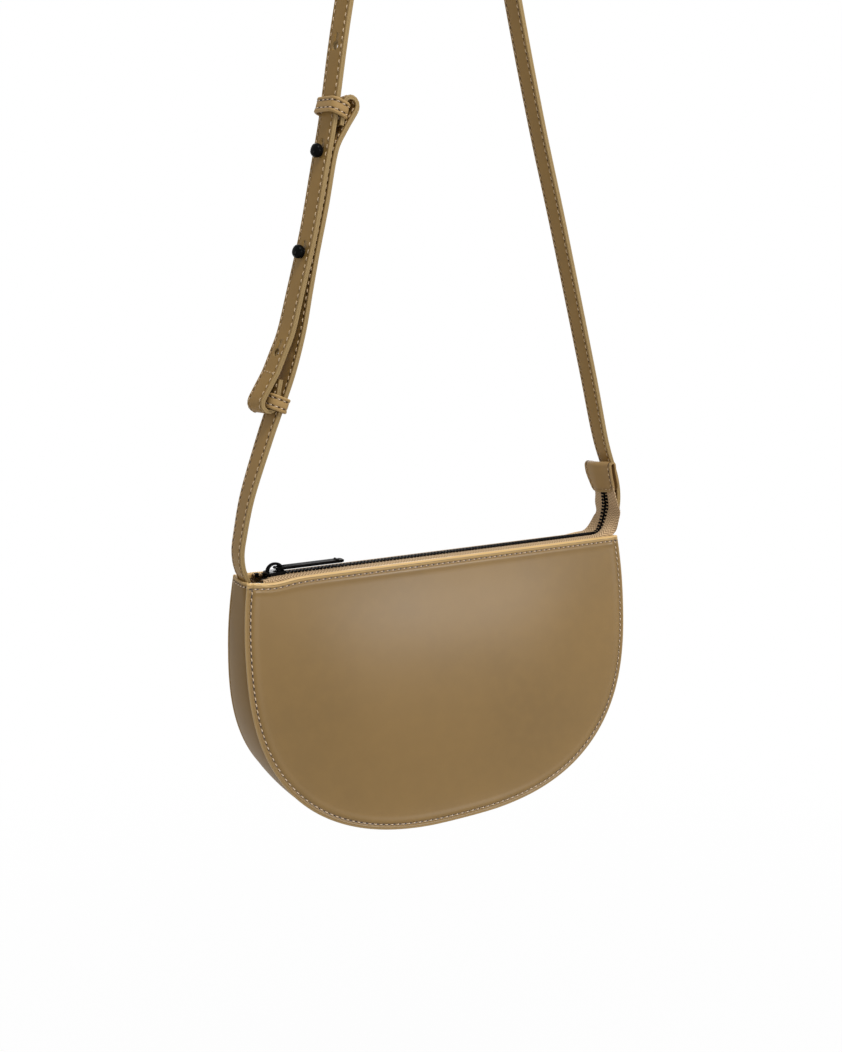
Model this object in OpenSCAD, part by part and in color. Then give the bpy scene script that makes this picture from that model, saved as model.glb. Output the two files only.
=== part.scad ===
// Half-moon shoulder bag with a zip top and an adjustable strap.
// The strap hangs over a support at the origin, and the bag hangs under it.
// +X runs along the zip to its tail, -Y is the front of the bag, +Z is up.

/* [Bag body] */
// Widest width of the front panel
body_w = 255; // [200:1:320]
// How far each side of the front panel leans in from its widest line to its top
side_lean = 3.5; // [0:0.5:8]
// Height of the front panel
body_h = 156; // [120:1:200]
// How far the widest line lies below the top edge
widest_drop = 42; // [30:1:60]
// Depth of the bag along its top edge
top_depth = 23; // [20:0.5:30]
// Depth of the bag at its bottom
base_depth = 60; // [40:1:80]
// How far the panel edges stand proud of the gusset
seam_proud = 0.6; // [0.2:0.1:1.2]

/* [Leather and lining] */
// Thickness of the leather of the body
leather_t = 1.3; // [1:0.1:1.6]
// Thickness of the skived leather that is turned in
hem_t = 1; // [0.6:0.1:1.2]
// Height of the turned-in hem along the top
hem_h = 12; // [9:0.5:16]
// Width of the gusset's turned-in seam flange
flange_w = 6; // [4:0.5:9]
// Thickness of the lining cloth
lining_t = 0.6; // [0.4:0.1:0.9]
// Width of the slip pocket in the lining
pocket_w = 130; // [90:1:160]
// Height of the slip pocket in the lining
pocket_h = 80; // [50:1:95]

/* [Zip] */
// Spacing of the teeth on one tape
tooth_pitch = 2.2; // [1.8:0.1:3]
// Width of the closed chain
chain_w = 5.8; // [5:0.1:7]
// Thickness of the teeth
tooth_t = 2; // [1.6:0.1:2.4]
// Clear slot between the two rows, where the slider's post runs
chain_slot = 1.5; // [1.4:0.1:1.8]
// Thickness of the zip tape
tape_t = 0.6; // [0.4:0.1:0.8]
// Width of one zip tape from the chain's middle to its outer edge
tape_w = 14; // [12.5:0.5:16]
// Distance from the mouth's left end to the left end of the tapes
tape_inset_left = 11; // [8:1:16]
// Distance from the mouth's right end to where the tail leaves it
tail_inset = 7; // [6:1:12]
// Width of the slider
slider_w = 9; // [8.6:0.1:10]
// Length of the slider
slider_l = 11; // [9:0.5:13]
// Thickness of the slider's top and bottom plates
slider_plate_t = 1; // [0.8:0.1:1.2]
// Distance from the left end of the tapes to the middle of the closed slider
slider_inset = 9; // [8:0.5:14]
// Outer radius of the slider's bail
bail_r = 4; // [3.6:0.1:4.6]
// Thickness of the bail's bow
bail_t = 1.1; // [0.9:0.1:1.3]
// Width of the bail
bail_w = 1.6; // [1.2:0.1:2]
// Length of the puller from its pin to its tip
puller_l = 40; // [28:1:50]
// Width of the puller
puller_w = 6; // [5:0.5:8]
// Thickness of the puller
puller_t = 1.6; // [1.2:0.1:2]

/* [Zip tail] */
// Height of the tail's fold over the top edge of the bag
tail_pivot_h = 1.2; // [1:0.1:2]
// Height of the tail from its fold to the top of its tab
tail_h = 46; // [36:1:54]
// Height of the leather tab on the tail
tab_h = 20; // [15:1:26]
// Width of the tab
tab_w = 26; // [22:1:30]

/* [Strap] */
// Drop from the support under the strap to the top edge of the bag
strap_drop = 485; // [400:5:600]
// Width of the strap
strap_w = 14; // [10:0.5:16]
// Thickness of each of the strap's two leathers
strap_ply = 1.3; // [1:0.05:1.5]
// Radius of the support that the strap hangs over
support_r = 13; // [10:1:20]
// Length of the strap ends that are sewn inside the bag
anchor_l = 18; // [12:1:24]
// Height of the strap's bending line over the top edge of the bag
swing_h = 8.2; // [8:0.1:10]
// Mean radius of the turned strap ends
turn_r = 4; // [3.8:0.1:4.4]

/* [Strap fastening] */
// Diameter of the holes in the strap
hole_d = 4.5; // [4:0.1:5]
// Spacing of the holes
hole_pitch = 53.5; // [48:0.5:56]
// Distance along the strap from its lower turn to the first hole
first_hole_s = 28; // [26:0.5:30]
// Length of the slit above each hole
slit_l = 4; // [2:0.5:6]
// Width of the slit
slit_w = 0.5; // [0.3:0.1:0.8]
// Diameter of a stud's head
stud_head_d = 7.4; // [6:0.5:9]
// Height of a stud's head
stud_head_h = 4.8; // [4:0.2:6]
// Diameter of a stud's neck
stud_neck_d = 3.8; // [3:0.1:3.9]
// Slack for the outer strap under a stud's head
stud_slack = 0.8; // [0.5:0.1:1.5]
// Air between the two straps where the studs hold them together
stud_air = 0.8; // [0.6:0.1:1.2]
// Diameter of the screw heads behind the studs
screw_head_d = 7; // [5:0.5:8]
// Thickness of the screw heads
screw_head_t = 1.2; // [0.8:0.1:1.6]
// Height of a keeper along the strap
keeper_h = 7.5; // [6:0.1:8]
// Thickness of a keeper's leather
keeper_t = 1.5; // [1.2:0.1:1.6]

/* [Hidden] */
$fn = 48;

olive = "#a08458";
olive_edge = "#b99b68";
sand = "#c9ad7d";
cloth = "#b7a584";
black_metal = "#1d1c1c";

// A hair of clearance between pieces on different bodies, and an overrun for cuts
clear = 0.3;
cut = 1;
strap_t = 2 * strap_ply;
half_w = body_w / 2;
half_top = body_w / 2 - side_lean;
tape_reach_left = half_top - tape_inset_left;
tail_x = half_top - tail_inset;

// Paths. A path is a list of [x, z] points, and its left side is positive.
function unit(v) = v / norm(v);
function left_of(v) = [-v[1], v[0]];
function reversed(p) = [for (i = [len(p) - 1 : -1 : 0]) p[i]];
function heading(p, i) = unit(p[min(i + 1, len(p) - 1)] - p[max(i - 1, 0)]);
function beside(p, d) = [for (i = [0 : len(p) - 1]) p[i] + d * left_of(heading(p, i))];
function band(p, from, to) = concat(beside(p, from), reversed(beside(p, to)));
function run(p, i) = i <= 0 ? 0 : run(p, i - 1) + norm(p[i] - p[i - 1]);
function arc(c, r, from, to, steps) =
    [for (i = [0 : steps]) let (a = from + (to - from) * i / steps) c + r * [cos(a), sin(a)]];
// A smooth curve through the points, with the given number of steps between two of them
function blend(a, b, c, d, t) =
    0.5 * (2 * b + (c - a) * t + (2 * a - 5 * b + 4 * c - d) * t * t
        + (3 * b - a - 3 * c + d) * t * t * t);
function smooth(p, steps) = concat(
    [for (i = [0 : len(p) - 2]) for (j = [0 : steps - 1])
        blend(p[max(i - 1, 0)], p[i], p[i + 1], p[min(i + 2, len(p) - 1)], j / steps)],
    [p[len(p) - 1]]);
// The point at a length along a path, and the path's direction there
function leg_at(p, s, i = 1) =
    i >= len(p) - 1 || s <= norm(p[i] - p[i - 1]) ? [i, s]
    : leg_at(p, s - norm(p[i] - p[i - 1]), i + 1);
function point_at(p, s) =
    let (g = leg_at(p, s)) p[g[0] - 1] + g[1] * unit(p[g[0]] - p[g[0] - 1]);
function direction_at(p, s) = let (g = leg_at(p, s)) heading(p, g[0]);

// The half-moon outline of the panels, from the top left round the bottom to the top right
belly_power = 2.6;
outline_steps = 22;
side_steps = 6;
function side_point(share) =
    [half_w - (half_w - half_top) * pow(share, 2), -widest_drop * (1 - share)];
function belly_point(a) =
    [half_w * pow(cos(a), 2 / belly_power),
     -widest_drop - (body_h - widest_drop) * pow(sin(a), 2 / belly_power)];
right_half = concat(
    [for (i = [side_steps : -1 : 1]) side_point(i / side_steps)],
    [for (i = [0 : outline_steps]) belly_point(90 * i / outline_steps)]);
outline = concat(
    [for (i = [0 : len(right_half) - 1]) [-right_half[i][0], right_half[i][1]]],
    [for (i = [len(right_half) - 2 : -1 : 0]) right_half[i]]);

// Half the bag's depth at a height, which grows from the top edge to the base
depth_power = 0.69;
profile_steps = 14;
profile_bunching = 1.8;
function half_depth(share) =
    (top_depth + (base_depth - top_depth) * (1 - pow(1 - share, depth_power))) / 2;
profile_shares = [for (i = [0 : profile_steps]) 1 - pow(1 - i / profile_steps, profile_bunching)];
function wall_line(inset) =
    [for (share = profile_shares) [half_depth(share) - inset, -body_h * share]];

// Everything below is drawn from the bag's top edge and then hung under the support
module hang() { translate([0, 0, -strap_drop]) children(); }
// An outline in [x, z], drawn from y = from to y = to
module along_y(from, to) {
    translate([0, to, 0]) rotate([90, 0, 0]) linear_extrude(to - from) children();
}
// A profile in [y, z], drawn along the whole width of the bag
module along_x(from, to) {
    translate([from, 0, 0]) rotate([90, 0, 90]) linear_extrude(to - from) children();
}
module ring(from, to) { polygon(band(outline, from, to)); }
module disc(inset) { polygon(beside(outline, inset)); }
// A layer of the back wall, between two distances from its outer face
module wall_layer(from, to) {
    outer = wall_line(from);
    inner = wall_line(to);
    last = len(outer) - 1;
    along_x(-half_w - cut, half_w + cut)
        polygon(concat(
            outer,
            [[outer[last][0], -body_h - cut], [inner[last][0], -body_h - cut]],
            reversed(inner)));
}
// The space between the front and back walls, less a layer on each
module between_walls(inset) {
    wall = wall_line(inset);
    low = [[wall[len(wall) - 1][0], -body_h - cut]];
    right = concat(wall, low);
    along_x(-half_w - cut, half_w + cut)
        polygon(concat(right, [for (p = reversed(right)) [-p[0], p[1]]]));
}
module on_wall(from, to) {
    intersection() {
        wall_layer(from, to);
        along_y(0, base_depth) children();
    }
}
module to_front() { mirror([0, 1, 0]) children(); }
// Keeps what lies between two heights over the bag's top edge
module slab(low, high) {
    translate([-body_w, -base_depth, low]) cube([2 * body_w, 2 * base_depth, high - low]);
}
module between_heights(low, high) {
    intersection() {
        children();
        slab(low, high);
    }
}

// Shell
gusset_out = seam_proud;
gusset_in = gusset_out + leather_t;
flange_in = gusset_in + flange_w;
stiffener_edge = flange_in + clear;
lining_face = leather_t + hem_t;
tape_turn = top_depth / 2 - lining_face;
tape_drop = tape_w - tape_turn;
lining_top = tape_drop + tape_t;
module panel() { on_wall(0, leather_t) disc(0); }
module top_hem() {
    between_heights(-hem_h, 0) on_wall(leather_t, lining_face) disc(flange_in);
}
module stiffener() {
    between_heights(-body_h, -hem_h) on_wall(leather_t, lining_face) disc(stiffener_edge);
}
module wall_lining() {
    between_heights(-body_h, -lining_top) on_wall(lining_face, lining_face + lining_t) disc(gusset_in);
}
module flange() {
    on_wall(leather_t, lining_face) ring(gusset_in, flange_in);
}
module gusset() {
    color(olive) hang() {
        intersection() {
            between_walls(leather_t);
            along_y(-base_depth, base_depth) ring(gusset_out, gusset_in);
        }
        flange();
        to_front() flange();
    }
}
module front_panel() { color(olive) hang() to_front() panel(); }
module back_panel() { color(olive) hang() panel(); }
module front_top_hem() { color(olive_edge) hang() to_front() top_hem(); }
module back_top_hem() { color(olive_edge) hang() top_hem(); }
module front_stiffener() { color("gray") hang() to_front() stiffener(); }
module back_stiffener() { color("gray") hang() stiffener(); }
module front_lining() { color(cloth) hang() to_front() wall_lining(); }
module back_lining() { color(cloth) hang() wall_lining(); }

// The gusset's top ends are turned in, and the strap ends are sewn behind them
end_hem_in = gusset_in + hem_t;
module end_hems() {
    between_heights(-hem_h, 0) intersection() {
        between_walls(lining_face + lining_t);
        along_y(-base_depth, base_depth) ring(gusset_in, end_hem_in);
    }
}
module half_space(side) {
    low = side < 0 ? -half_w - cut : 0;
    intersection() {
        children();
        translate([low, -base_depth, -body_h - cut]) cube([half_w + cut, 2 * base_depth, body_h + 2 * cut]);
    }
}
module left_end_hem() { color(olive_edge) hang() half_space(-1) end_hems(); }
module right_end_hem() { color(olive_edge) hang() half_space(1) end_hems(); }
module gusset_lining() {
    color(cloth) hang() between_heights(-body_h, -hem_h) intersection() {
        between_walls(lining_face + lining_t);
        along_y(-base_depth, base_depth) ring(gusset_in, gusset_in + lining_t);
    }
}
// An open-topped patch of lining, sewn to the back lining along its sides and base
pocket_top = 24;
pocket_face = lining_face + lining_t;
module slip_pocket() {
    color(cloth) hang() between_heights(-pocket_top - pocket_h, -pocket_top) intersection() {
        wall_layer(pocket_face, pocket_face + lining_t);
        translate([-pocket_w / 2, 0, -body_h]) cube([pocket_w, base_depth, body_h]);
    }
}

// Zip in the mouth. Each tape is sewn down the inside of its hem.
chain_z = -0.3;
half_chain = chain_w / 2;
tape_flat = slider_w / 2 + clear;
tape_sag = 1;
module zip_tape() {
    top = chain_z + tape_t / 2;
    along_x(-tape_reach_left, tail_x - clear)
        polygon([
            [half_chain, top], [tape_flat, top], [tape_turn, top - tape_sag],
            [tape_turn, -tape_drop - tape_t], [tape_turn - tape_t, -tape_drop - tape_t],
            [tape_turn - tape_t, top - tape_t - tape_sag], [tape_flat, top - tape_t],
            [half_chain, top - tape_t]]);
}
slider_x = -tape_reach_left + slider_inset;
stop_l = 2.2;
stop_margin = 0.4;
rows_from = -tape_reach_left + stop_margin + stop_l;
rows_to = tail_x - 2 * tooth_pitch;
tooth_share = 0.5;
cord_w = 0.8;
row_teeth = floor((rows_to - rows_from) / tooth_pitch);
// One row: the cord along the tape's edge, and the teeth that are crimped on it
module tooth_row(shift) {
    inner = chain_slot / 2;
    points = [for (i = [0 : row_teeth - 1])
        let (x = rows_from + i * tooth_pitch + shift)
        each [[x, half_chain - cord_w], [x, inner],
              [x + tooth_share * tooth_pitch, inner],
              [x + tooth_share * tooth_pitch, half_chain - cord_w]]];
    translate([0, 0, chain_z - tooth_t / 2]) linear_extrude(tooth_t)
        polygon(concat(
            [[rows_from, half_chain], [rows_from, half_chain - cord_w]],
            points,
            [[rows_to, half_chain - cord_w], [rows_to, half_chain]]));
}
module zip_tape_front() { color(sand) hang() to_front() zip_tape(); }
module zip_tape_back() { color(sand) hang() zip_tape(); }
module zip_teeth_front() { color(black_metal) hang() to_front() tooth_row(0); }
module zip_teeth_back() { color(black_metal) hang() tooth_row(tooth_share * tooth_pitch); }
module stop_block() {
    translate([rows_from - stop_l, chain_slot / 2, chain_z - tooth_t / 2])
        cube([stop_l, half_chain - chain_slot / 2, tooth_t]);
}
module zip_top_stops() {
    color(black_metal) hang() {
        stop_block();
        to_front() stop_block();
    }
}

// Slider, its bail and the puller, which turns on a pin through the bail
slider_gap = tooth_t / 2 + clear;
slider_top = chain_z + slider_gap + slider_plate_t;
slider_wall = slider_w / 2 - half_chain - clear;
slider_slot = tape_t / 2 + clear;
post_w = chain_slot - 2 * clear;
post_l = 3;
corner_r = 2;
module plate() {
    translate([-slider_l / 2, -slider_w / 2, slider_gap]) {
        difference() {
            cube([slider_l, slider_w, slider_plate_t]);
            for (y = [0, slider_w])
                translate([0, y, -cut]) rotate(45)
                    translate([-corner_r / 2, -corner_r / 2, 0])
                        cube([corner_r, corner_r, slider_plate_t + 2 * cut]);
        }
    }
    for (side = [0, 1])
        mirror([0, side, 0])
            translate([-slider_l / 2 + corner_r, slider_w / 2 - slider_wall, slider_slot])
                cube([slider_l - corner_r, slider_wall, slider_gap - slider_slot]);
}
module zip_slider() {
    color(black_metal) hang() translate([slider_x, 0, chain_z]) {
        plate();
        mirror([0, 0, 1]) plate();
        translate([-slider_l / 2 + corner_r / 2, -post_w / 2, -slider_gap])
            cube([post_l, post_w, 2 * slider_gap]);
    }
}
module zip_bail() {
    color(black_metal) hang() translate([slider_x, 0, slider_top]) {
        intersection() {
            along_y(-bail_w / 2, bail_w / 2) difference() {
                circle(bail_r);
                circle(bail_r - bail_t);
            }
            translate([-bail_r - cut, -bail_w, 0]) cube([2 * (bail_r + cut), 2 * bail_w, bail_r + cut]);
        }
    }
}
pin_r = 0.6;
pin_x = slider_x + 1;
pin_z = slider_top + puller_t / 2 + clear + pin_r / 2;
eye_gap = bail_w / 2 + clear;
eye_l = bail_r + 2 * clear;
module zip_puller() {
    color(black_metal) hang() translate([pin_x, 0, pin_z]) {
        along_y(-puller_w / 2, puller_w / 2) circle(pin_r);
        difference() {
            translate([0, -puller_w / 2, -puller_t / 2]) cube([puller_l, puller_w, puller_t]);
            translate([-cut, -eye_gap, -puller_t]) cube([eye_l + cut, 2 * eye_gap, 2 * puller_t]);
        }
        for (side = [0, 1])
            mirror([0, side, 0]) along_y(eye_gap, puller_w / 2) circle(puller_t / 2);
    }
}

// The zip's tail stands up out of the right end of the mouth and ends in a leather tab
tail_rise_shares = [0, 0.14, 0.33, 0.55, 0.78, 1];
tail_lean_shares = [0, 0.06, 0.12, 0.10, 0.05, -0.01];
tail_path = smooth(
    [for (i = [0 : len(tail_rise_shares) - 1])
        [tail_x + tail_h * tail_lean_shares[i], tail_pivot_h + tail_h * tail_rise_shares[i]]], 3);
tail_len = run(tail_path, len(tail_path) - 1);
tab_gap = tooth_t / 2 + clear / 2;
tab_out = tab_gap + leather_t;
stop_inset = 3;
module tail_strip(from, to) { polygon(band(tail_path, from, to)); }
module under_tab() {
    intersection() {
        children();
        slab(0, tail_pivot_h + tail_h - leather_t);
    }
}
module tail_tape() {
    along_y(half_chain, tape_w) tail_strip(-tape_t / 2, tape_t / 2);
}
module tail_row(shift) {
    count = floor((tail_len - tab_h) / tooth_pitch) + 1;
    along_y(half_chain - cord_w, half_chain) tail_strip(-tape_t, tape_t);
    for (i = [1 : count]) {
        s = i * tooth_pitch + shift;
        p = point_at(tail_path, s);
        d = direction_at(tail_path, s);
        translate([p[0], chain_slot / 2, p[1]]) rotate([0, -atan2(d[1], d[0]), 0])
            translate([0, 0, -tooth_t / 2])
                cube([tooth_share * tooth_pitch, half_chain - chain_slot / 2 - cord_w / 2, tooth_t]);
    }
}
module tail_tape_front() { color(sand) hang() to_front() under_tab() tail_tape(); }
module tail_tape_back() { color(sand) hang() under_tab() tail_tape(); }
module tail_teeth_front() { color(black_metal) hang() to_front() under_tab() tail_row(0); }
module tail_teeth_back() {
    color(black_metal) hang() under_tab() tail_row(tooth_share * tooth_pitch);
}
module tail_bottom_stop() {
    p = point_at(tail_path, tail_len - tab_h + stop_inset + stop_l);
    d = direction_at(tail_path, tail_len - tab_h + stop_inset + stop_l);
    color(black_metal) hang() translate([p[0], 0, p[1]]) rotate([0, -atan2(d[1], d[0]), 0])
        translate([0, -chain_slot / 2 + clear / 2, -tooth_t / 2])
            cube([stop_l, chain_slot - clear, tooth_t]);
}
module tail_tab() {
    color(olive) hang() difference() {
        intersection() {
            along_y(-tab_w / 2, tab_w / 2) tail_strip(-tab_out, tab_out);
            slab(tail_pivot_h + tail_h - tab_h, tail_pivot_h + tail_h + leather_t);
        }
        intersection() {
            along_y(-tab_w, tab_w) tail_strip(-tab_gap, tab_gap);
            slab(0, tail_pivot_h + tail_h - leather_t);
        }
    }
}

// Strap routes, as shares of half the bag's top width and of the strap's drop
strap_foot_x = half_top - end_hem_in - clear / 2 - strap_ply;
function placed(shares) = [for (p = shares) [p[0] * half_top, p[1] * strap_drop]];

// The outer, long strap: its left strand from the lower turn up to the support
long_left_shares = [
    [-0.826, 0.2270], [-0.789, 0.2480], [-0.752, 0.2700], [-0.703, 0.3140],
    [-0.637, 0.3760], [-0.584, 0.4380], [-0.543, 0.4860], [-0.519, 0.5200],
    [-0.488, 0.5670], [-0.454, 0.6130], [-0.356, 0.7340], [-0.243, 0.8560]];
long_right_shares = [
    [0.171, 0.8930], [0.274, 0.7630], [0.389, 0.6370], [0.524, 0.5070],
    [0.663, 0.3860], [0.853, 0.2130], [0.946, 0.1250], [1.014, 0.0740], [1.026, 0.0440],
    [1.003, 0.0210]];
support_centre = [0, strap_drop - support_r];
support_arc = arc(support_centre, support_r + strap_ply, 165, 10, 16);

turn_steps = 12;
lower_turn_shares = [-0.869, 0.1930];
lower_turn = [lower_turn_shares[0] * half_top, lower_turn_shares[1] * strap_drop];
lower_leg_tilt = 30;
lower_tail_tilt = 12;
lower_tail_l = 14;
lower_turn_arc = arc(lower_turn, turn_r, -lower_tail_tilt, -180 - lower_leg_tilt, turn_steps);
lower_tail_end = lower_turn_arc[0] + lower_tail_l * [sin(lower_tail_tilt), cos(lower_tail_tilt)];
long_path = concat(
    [lower_tail_end, (lower_tail_end + lower_turn_arc[0]) / 2],
    lower_turn_arc,
    smooth(placed(long_left_shares), 3),
    support_arc,
    smooth(concat(placed(long_right_shares), [[strap_foot_x, 0]]), 3),
    [[strap_foot_x, -anchor_l]]);

// Holes, counted up the long strap from its lower turn
hole_count = 5;
turn_s = run(long_path, turn_steps + 2);
function hole_s(i) = turn_s + first_hole_s + i * hole_pitch;
function behind_hole(i, d) =
    point_at(long_path, hole_s(i)) - d * left_of(direction_at(long_path, hole_s(i)));

// The inner, short strap: its foot in the bag, and its top end turned towards the outer strap
short_low_shares = [
    [-1.003, 0.0230], [-0.995, 0.0460], [-0.953, 0.0920], [-0.869, 0.1520],
    [-0.826, 0.1800], [-0.757, 0.2243], [-0.703, 0.2700], [-0.666, 0.3140]];
short_high_shares = [[-0.494, 0.4820], [-0.436, 0.5041]];
stud_hole_shares = [1, 1.5, 2];
upper_tail_tilt = 9.5;
upper_tail_l = 12;
short_leg = concat(
    [[-strap_foot_x, -anchor_l]],
    smooth(concat(
        [[-strap_foot_x, 0]],
        placed(short_low_shares),
        [for (i = stud_hole_shares) behind_hole(i, strap_t + stud_air)],
        placed(short_high_shares)), 3));
short_end = short_leg[len(short_leg) - 1];
short_end_dir = unit(short_end - short_leg[len(short_leg) - 2]);
upper_turn = short_end + turn_r * left_of(short_end_dir);
upper_turn_arc = arc(upper_turn, turn_r,
    atan2(-left_of(short_end_dir)[1], -left_of(short_end_dir)[0]), 180 - upper_tail_tilt, turn_steps);
short_path = concat(
    short_leg,
    [for (i = [1 : len(upper_turn_arc) - 1]) upper_turn_arc[i]],
    [for (k = [0.5, 1]) upper_turn_arc[len(upper_turn_arc) - 1]
        - k * upper_tail_l * [sin(upper_tail_tilt), cos(upper_tail_tilt)]]);

module strap_band(path, from, to) {
    along_y(-strap_w / 2, strap_w / 2) polygon(band(path, from, to));
}
// The strap bends edgeways just above the bag, on a round end
module above_bend() {
    intersection() {
        children();
        union() {
            slab(swing_h, strap_drop + support_r);
            along_x(-body_w, body_w) translate([0, swing_h]) circle(strap_w / 2);
        }
    }
}
module below_bend() {
    difference() {
        intersection() {
            children();
            slab(-body_h, swing_h);
        }
        along_x(-body_w, body_w) translate([0, swing_h]) circle(strap_w / 2 + clear);
    }
}

// Draws in a frame whose +Z points out of the strap's face, and whose +X runs up the strap
module at_hole(i) {
    p = point_at(long_path, hole_s(i));
    d = direction_at(long_path, hole_s(i));
    translate([p[0], 0, p[1]]) rotate([0, -atan2(d[1], d[0]), 0]) children();
}
hole_reach = 4 * strap_t;
module hole_cut(d) {
    translate([0, 0, -hole_reach]) cylinder(d = d, h = 2 * hole_reach);
}
module keyhole() {
    hole_cut(hole_d);
    translate([0, -slit_w / 2, -strap_t]) cube([hole_d / 2 + slit_l, slit_w, 2 * strap_t]);
}
module long_strap(from, to) {
    color(olive) hang() difference() {
        above_bend() strap_band(long_path, from, to);
        for (i = [0 : hole_count - 1]) at_hole(i) keyhole();
    }
}
module short_strap(from, to) {
    color(olive) hang() difference() {
        above_bend() strap_band(short_path, from, to);
        for (i = stud_holes) at_hole(i) hole_cut(hole_d);
    }
}
stud_holes = [1, 2];
module long_strap_face() { long_strap(0, strap_ply); }
module long_strap_lining() { long_strap(-strap_ply, 0); }
module short_strap_face() { short_strap(0, strap_ply); }
module short_strap_lining() { short_strap(-strap_ply, 0); }

// The strap ends inside the bag, with a patch that backs the seam
module left_strap_anchor() {
    color(olive) hang() below_bend() half_strap(-1) strap_band(short_path, -strap_ply, strap_ply);
}
module right_strap_anchor() {
    color(olive) hang() below_bend() half_strap(1) strap_band(long_path, -strap_ply, strap_ply);
}
module half_strap(side) {
    intersection() {
        children();
        translate([side < 0 ? -body_w : 0, -base_depth, -body_h]) cube([body_w, 2 * base_depth, 2 * body_h]);
    }
}
patch_margin = 1;
patch_w = strap_w + 2 * patch_margin;
module anchor_patch() {
    translate([strap_foot_x - strap_ply - lining_t, -patch_w / 2, -anchor_l - patch_margin])
        cube([lining_t, patch_w, anchor_l]);
}
module right_anchor_patch() { color(cloth) hang() anchor_patch(); }
module left_anchor_patch() { color(cloth) hang() mirror([1, 0, 0]) anchor_patch(); }

// Studs: a round head on a neck through both straps, held by a screw from behind
stud_foot = -stud_air - strap_t - strap_ply - clear / 2;
module stud(i) {
    head_z = strap_ply + stud_slack;
    color(black_metal) hang() at_hole(i) {
        translate([0, 0, head_z + stud_head_h / 2]) intersection() {
            sphere(d = stud_head_d);
            translate([0, 0, -stud_head_h / 2]) cylinder(d = stud_head_d, h = stud_head_h);
        }
        translate([0, 0, stud_foot]) cylinder(d = stud_neck_d, h = head_z - stud_foot);
    }
}
module upper_stud() { stud(2); }
module lower_stud() { stud(1); }
module stud_screw(i) {
    color(black_metal) hang() at_hole(i)
        translate([0, 0, stud_foot - screw_head_t]) cylinder(d = screw_head_d, h = screw_head_t);
}
module upper_stud_screw() { stud_screw(2); }
module lower_stud_screw() { stud_screw(1); }

// Keepers: loose leather loops that hold the turned ends against the other strap
keeper_corner = 2.4;
keeper_gap = 9.2;
upper_keeper_tilt = 18;
lower_keeper_tilt = 22;
upper_keeper_shares = [-1.68, -0.42];
lower_keeper_shares = [1.44, 0.10];
module rounded(w, h, r) {
    square([w - 2 * r, h], center = true);
    square([w, h - 2 * r], center = true);
    for (x = [r - w / 2, w / 2 - r])
        for (y = [r - h / 2, h / 2 - r])
            translate([x, y]) circle(r);
}
module keeper(centre, tilt) {
    gap_y = strap_w + 2 * clear;
    color(olive_edge) hang() translate([centre[0], 0, centre[1]]) rotate([0, tilt, 0])
        translate([0, 0, -keeper_h / 2]) linear_extrude(keeper_h) difference() {
            rounded(keeper_gap + 2 * keeper_t, gap_y + 2 * keeper_t, keeper_corner);
            rounded(keeper_gap, gap_y, keeper_corner - keeper_t);
        }
}
module upper_keeper() { keeper(upper_turn + turn_r * upper_keeper_shares, upper_keeper_tilt); }
module lower_keeper() { keeper(lower_turn + turn_r * lower_keeper_shares, lower_keeper_tilt); }

front_panel();
back_panel();
gusset();
front_top_hem();
back_top_hem();
left_end_hem();
right_end_hem();
front_stiffener();
back_stiffener();
front_lining();
back_lining();
gusset_lining();
slip_pocket();
left_strap_anchor();
right_strap_anchor();
left_anchor_patch();
right_anchor_patch();
zip_tape_front();
zip_tape_back();
zip_teeth_front();
zip_teeth_back();
zip_top_stops();
zip_slider();
zip_bail();
zip_puller();
tail_tape_front();
tail_tape_back();
tail_teeth_front();
tail_teeth_back();
tail_bottom_stop();
tail_tab();
long_strap_face();
long_strap_lining();
short_strap_face();
short_strap_lining();
upper_stud();
lower_stud();
upper_stud_screw();
lower_stud_screw();
upper_keeper();
lower_keeper();
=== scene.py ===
# %% [markdown]
# # A half-moon leather bag with a zip top
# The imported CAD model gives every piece's size and every joint. This file dresses it: leather that
# is rolled and sewn, a real chain of zip teeth, and a strap with its studs and loose keepers.
# All lengths below are millimetres from the middle of the bag's top edge, because a bag maker
# measures from there. One function moves them into the frame, whose origin is under the strap.

# %% Load the frame
import math

import bmesh
import bpy
import numpy as np
from mathutils import Matrix, Vector


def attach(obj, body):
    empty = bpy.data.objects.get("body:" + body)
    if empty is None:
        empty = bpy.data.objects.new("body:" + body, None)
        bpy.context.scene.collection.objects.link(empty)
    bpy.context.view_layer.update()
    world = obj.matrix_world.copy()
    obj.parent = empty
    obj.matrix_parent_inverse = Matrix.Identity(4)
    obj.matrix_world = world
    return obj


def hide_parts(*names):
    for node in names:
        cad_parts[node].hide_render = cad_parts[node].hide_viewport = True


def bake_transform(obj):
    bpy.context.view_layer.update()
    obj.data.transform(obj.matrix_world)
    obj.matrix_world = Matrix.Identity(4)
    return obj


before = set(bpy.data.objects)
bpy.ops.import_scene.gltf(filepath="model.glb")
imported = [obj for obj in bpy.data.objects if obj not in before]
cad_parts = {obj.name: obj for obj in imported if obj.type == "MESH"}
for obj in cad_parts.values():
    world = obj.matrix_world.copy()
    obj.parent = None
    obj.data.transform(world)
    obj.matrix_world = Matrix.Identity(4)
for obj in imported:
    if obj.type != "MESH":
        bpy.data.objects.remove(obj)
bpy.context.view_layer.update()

MM = 0.001
STRAP_DROP = 485
PHOTO_HEIGHT = 1052


def in_frame(points):
    """Millimetres from the bag's top edge, as metres in the frame."""
    return (np.asarray(points, float) + (0, 0, -STRAP_DROP)) * MM


# %% [markdown]
# ## The camera
# The photograph looks down a little from the bag's front left. The angles and the distance come
# from fitting a camera to the corners of the bag, so the render can be laid over the photograph.
# The distance is in metres, because the camera stands in the frame and not on the bag.

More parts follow.
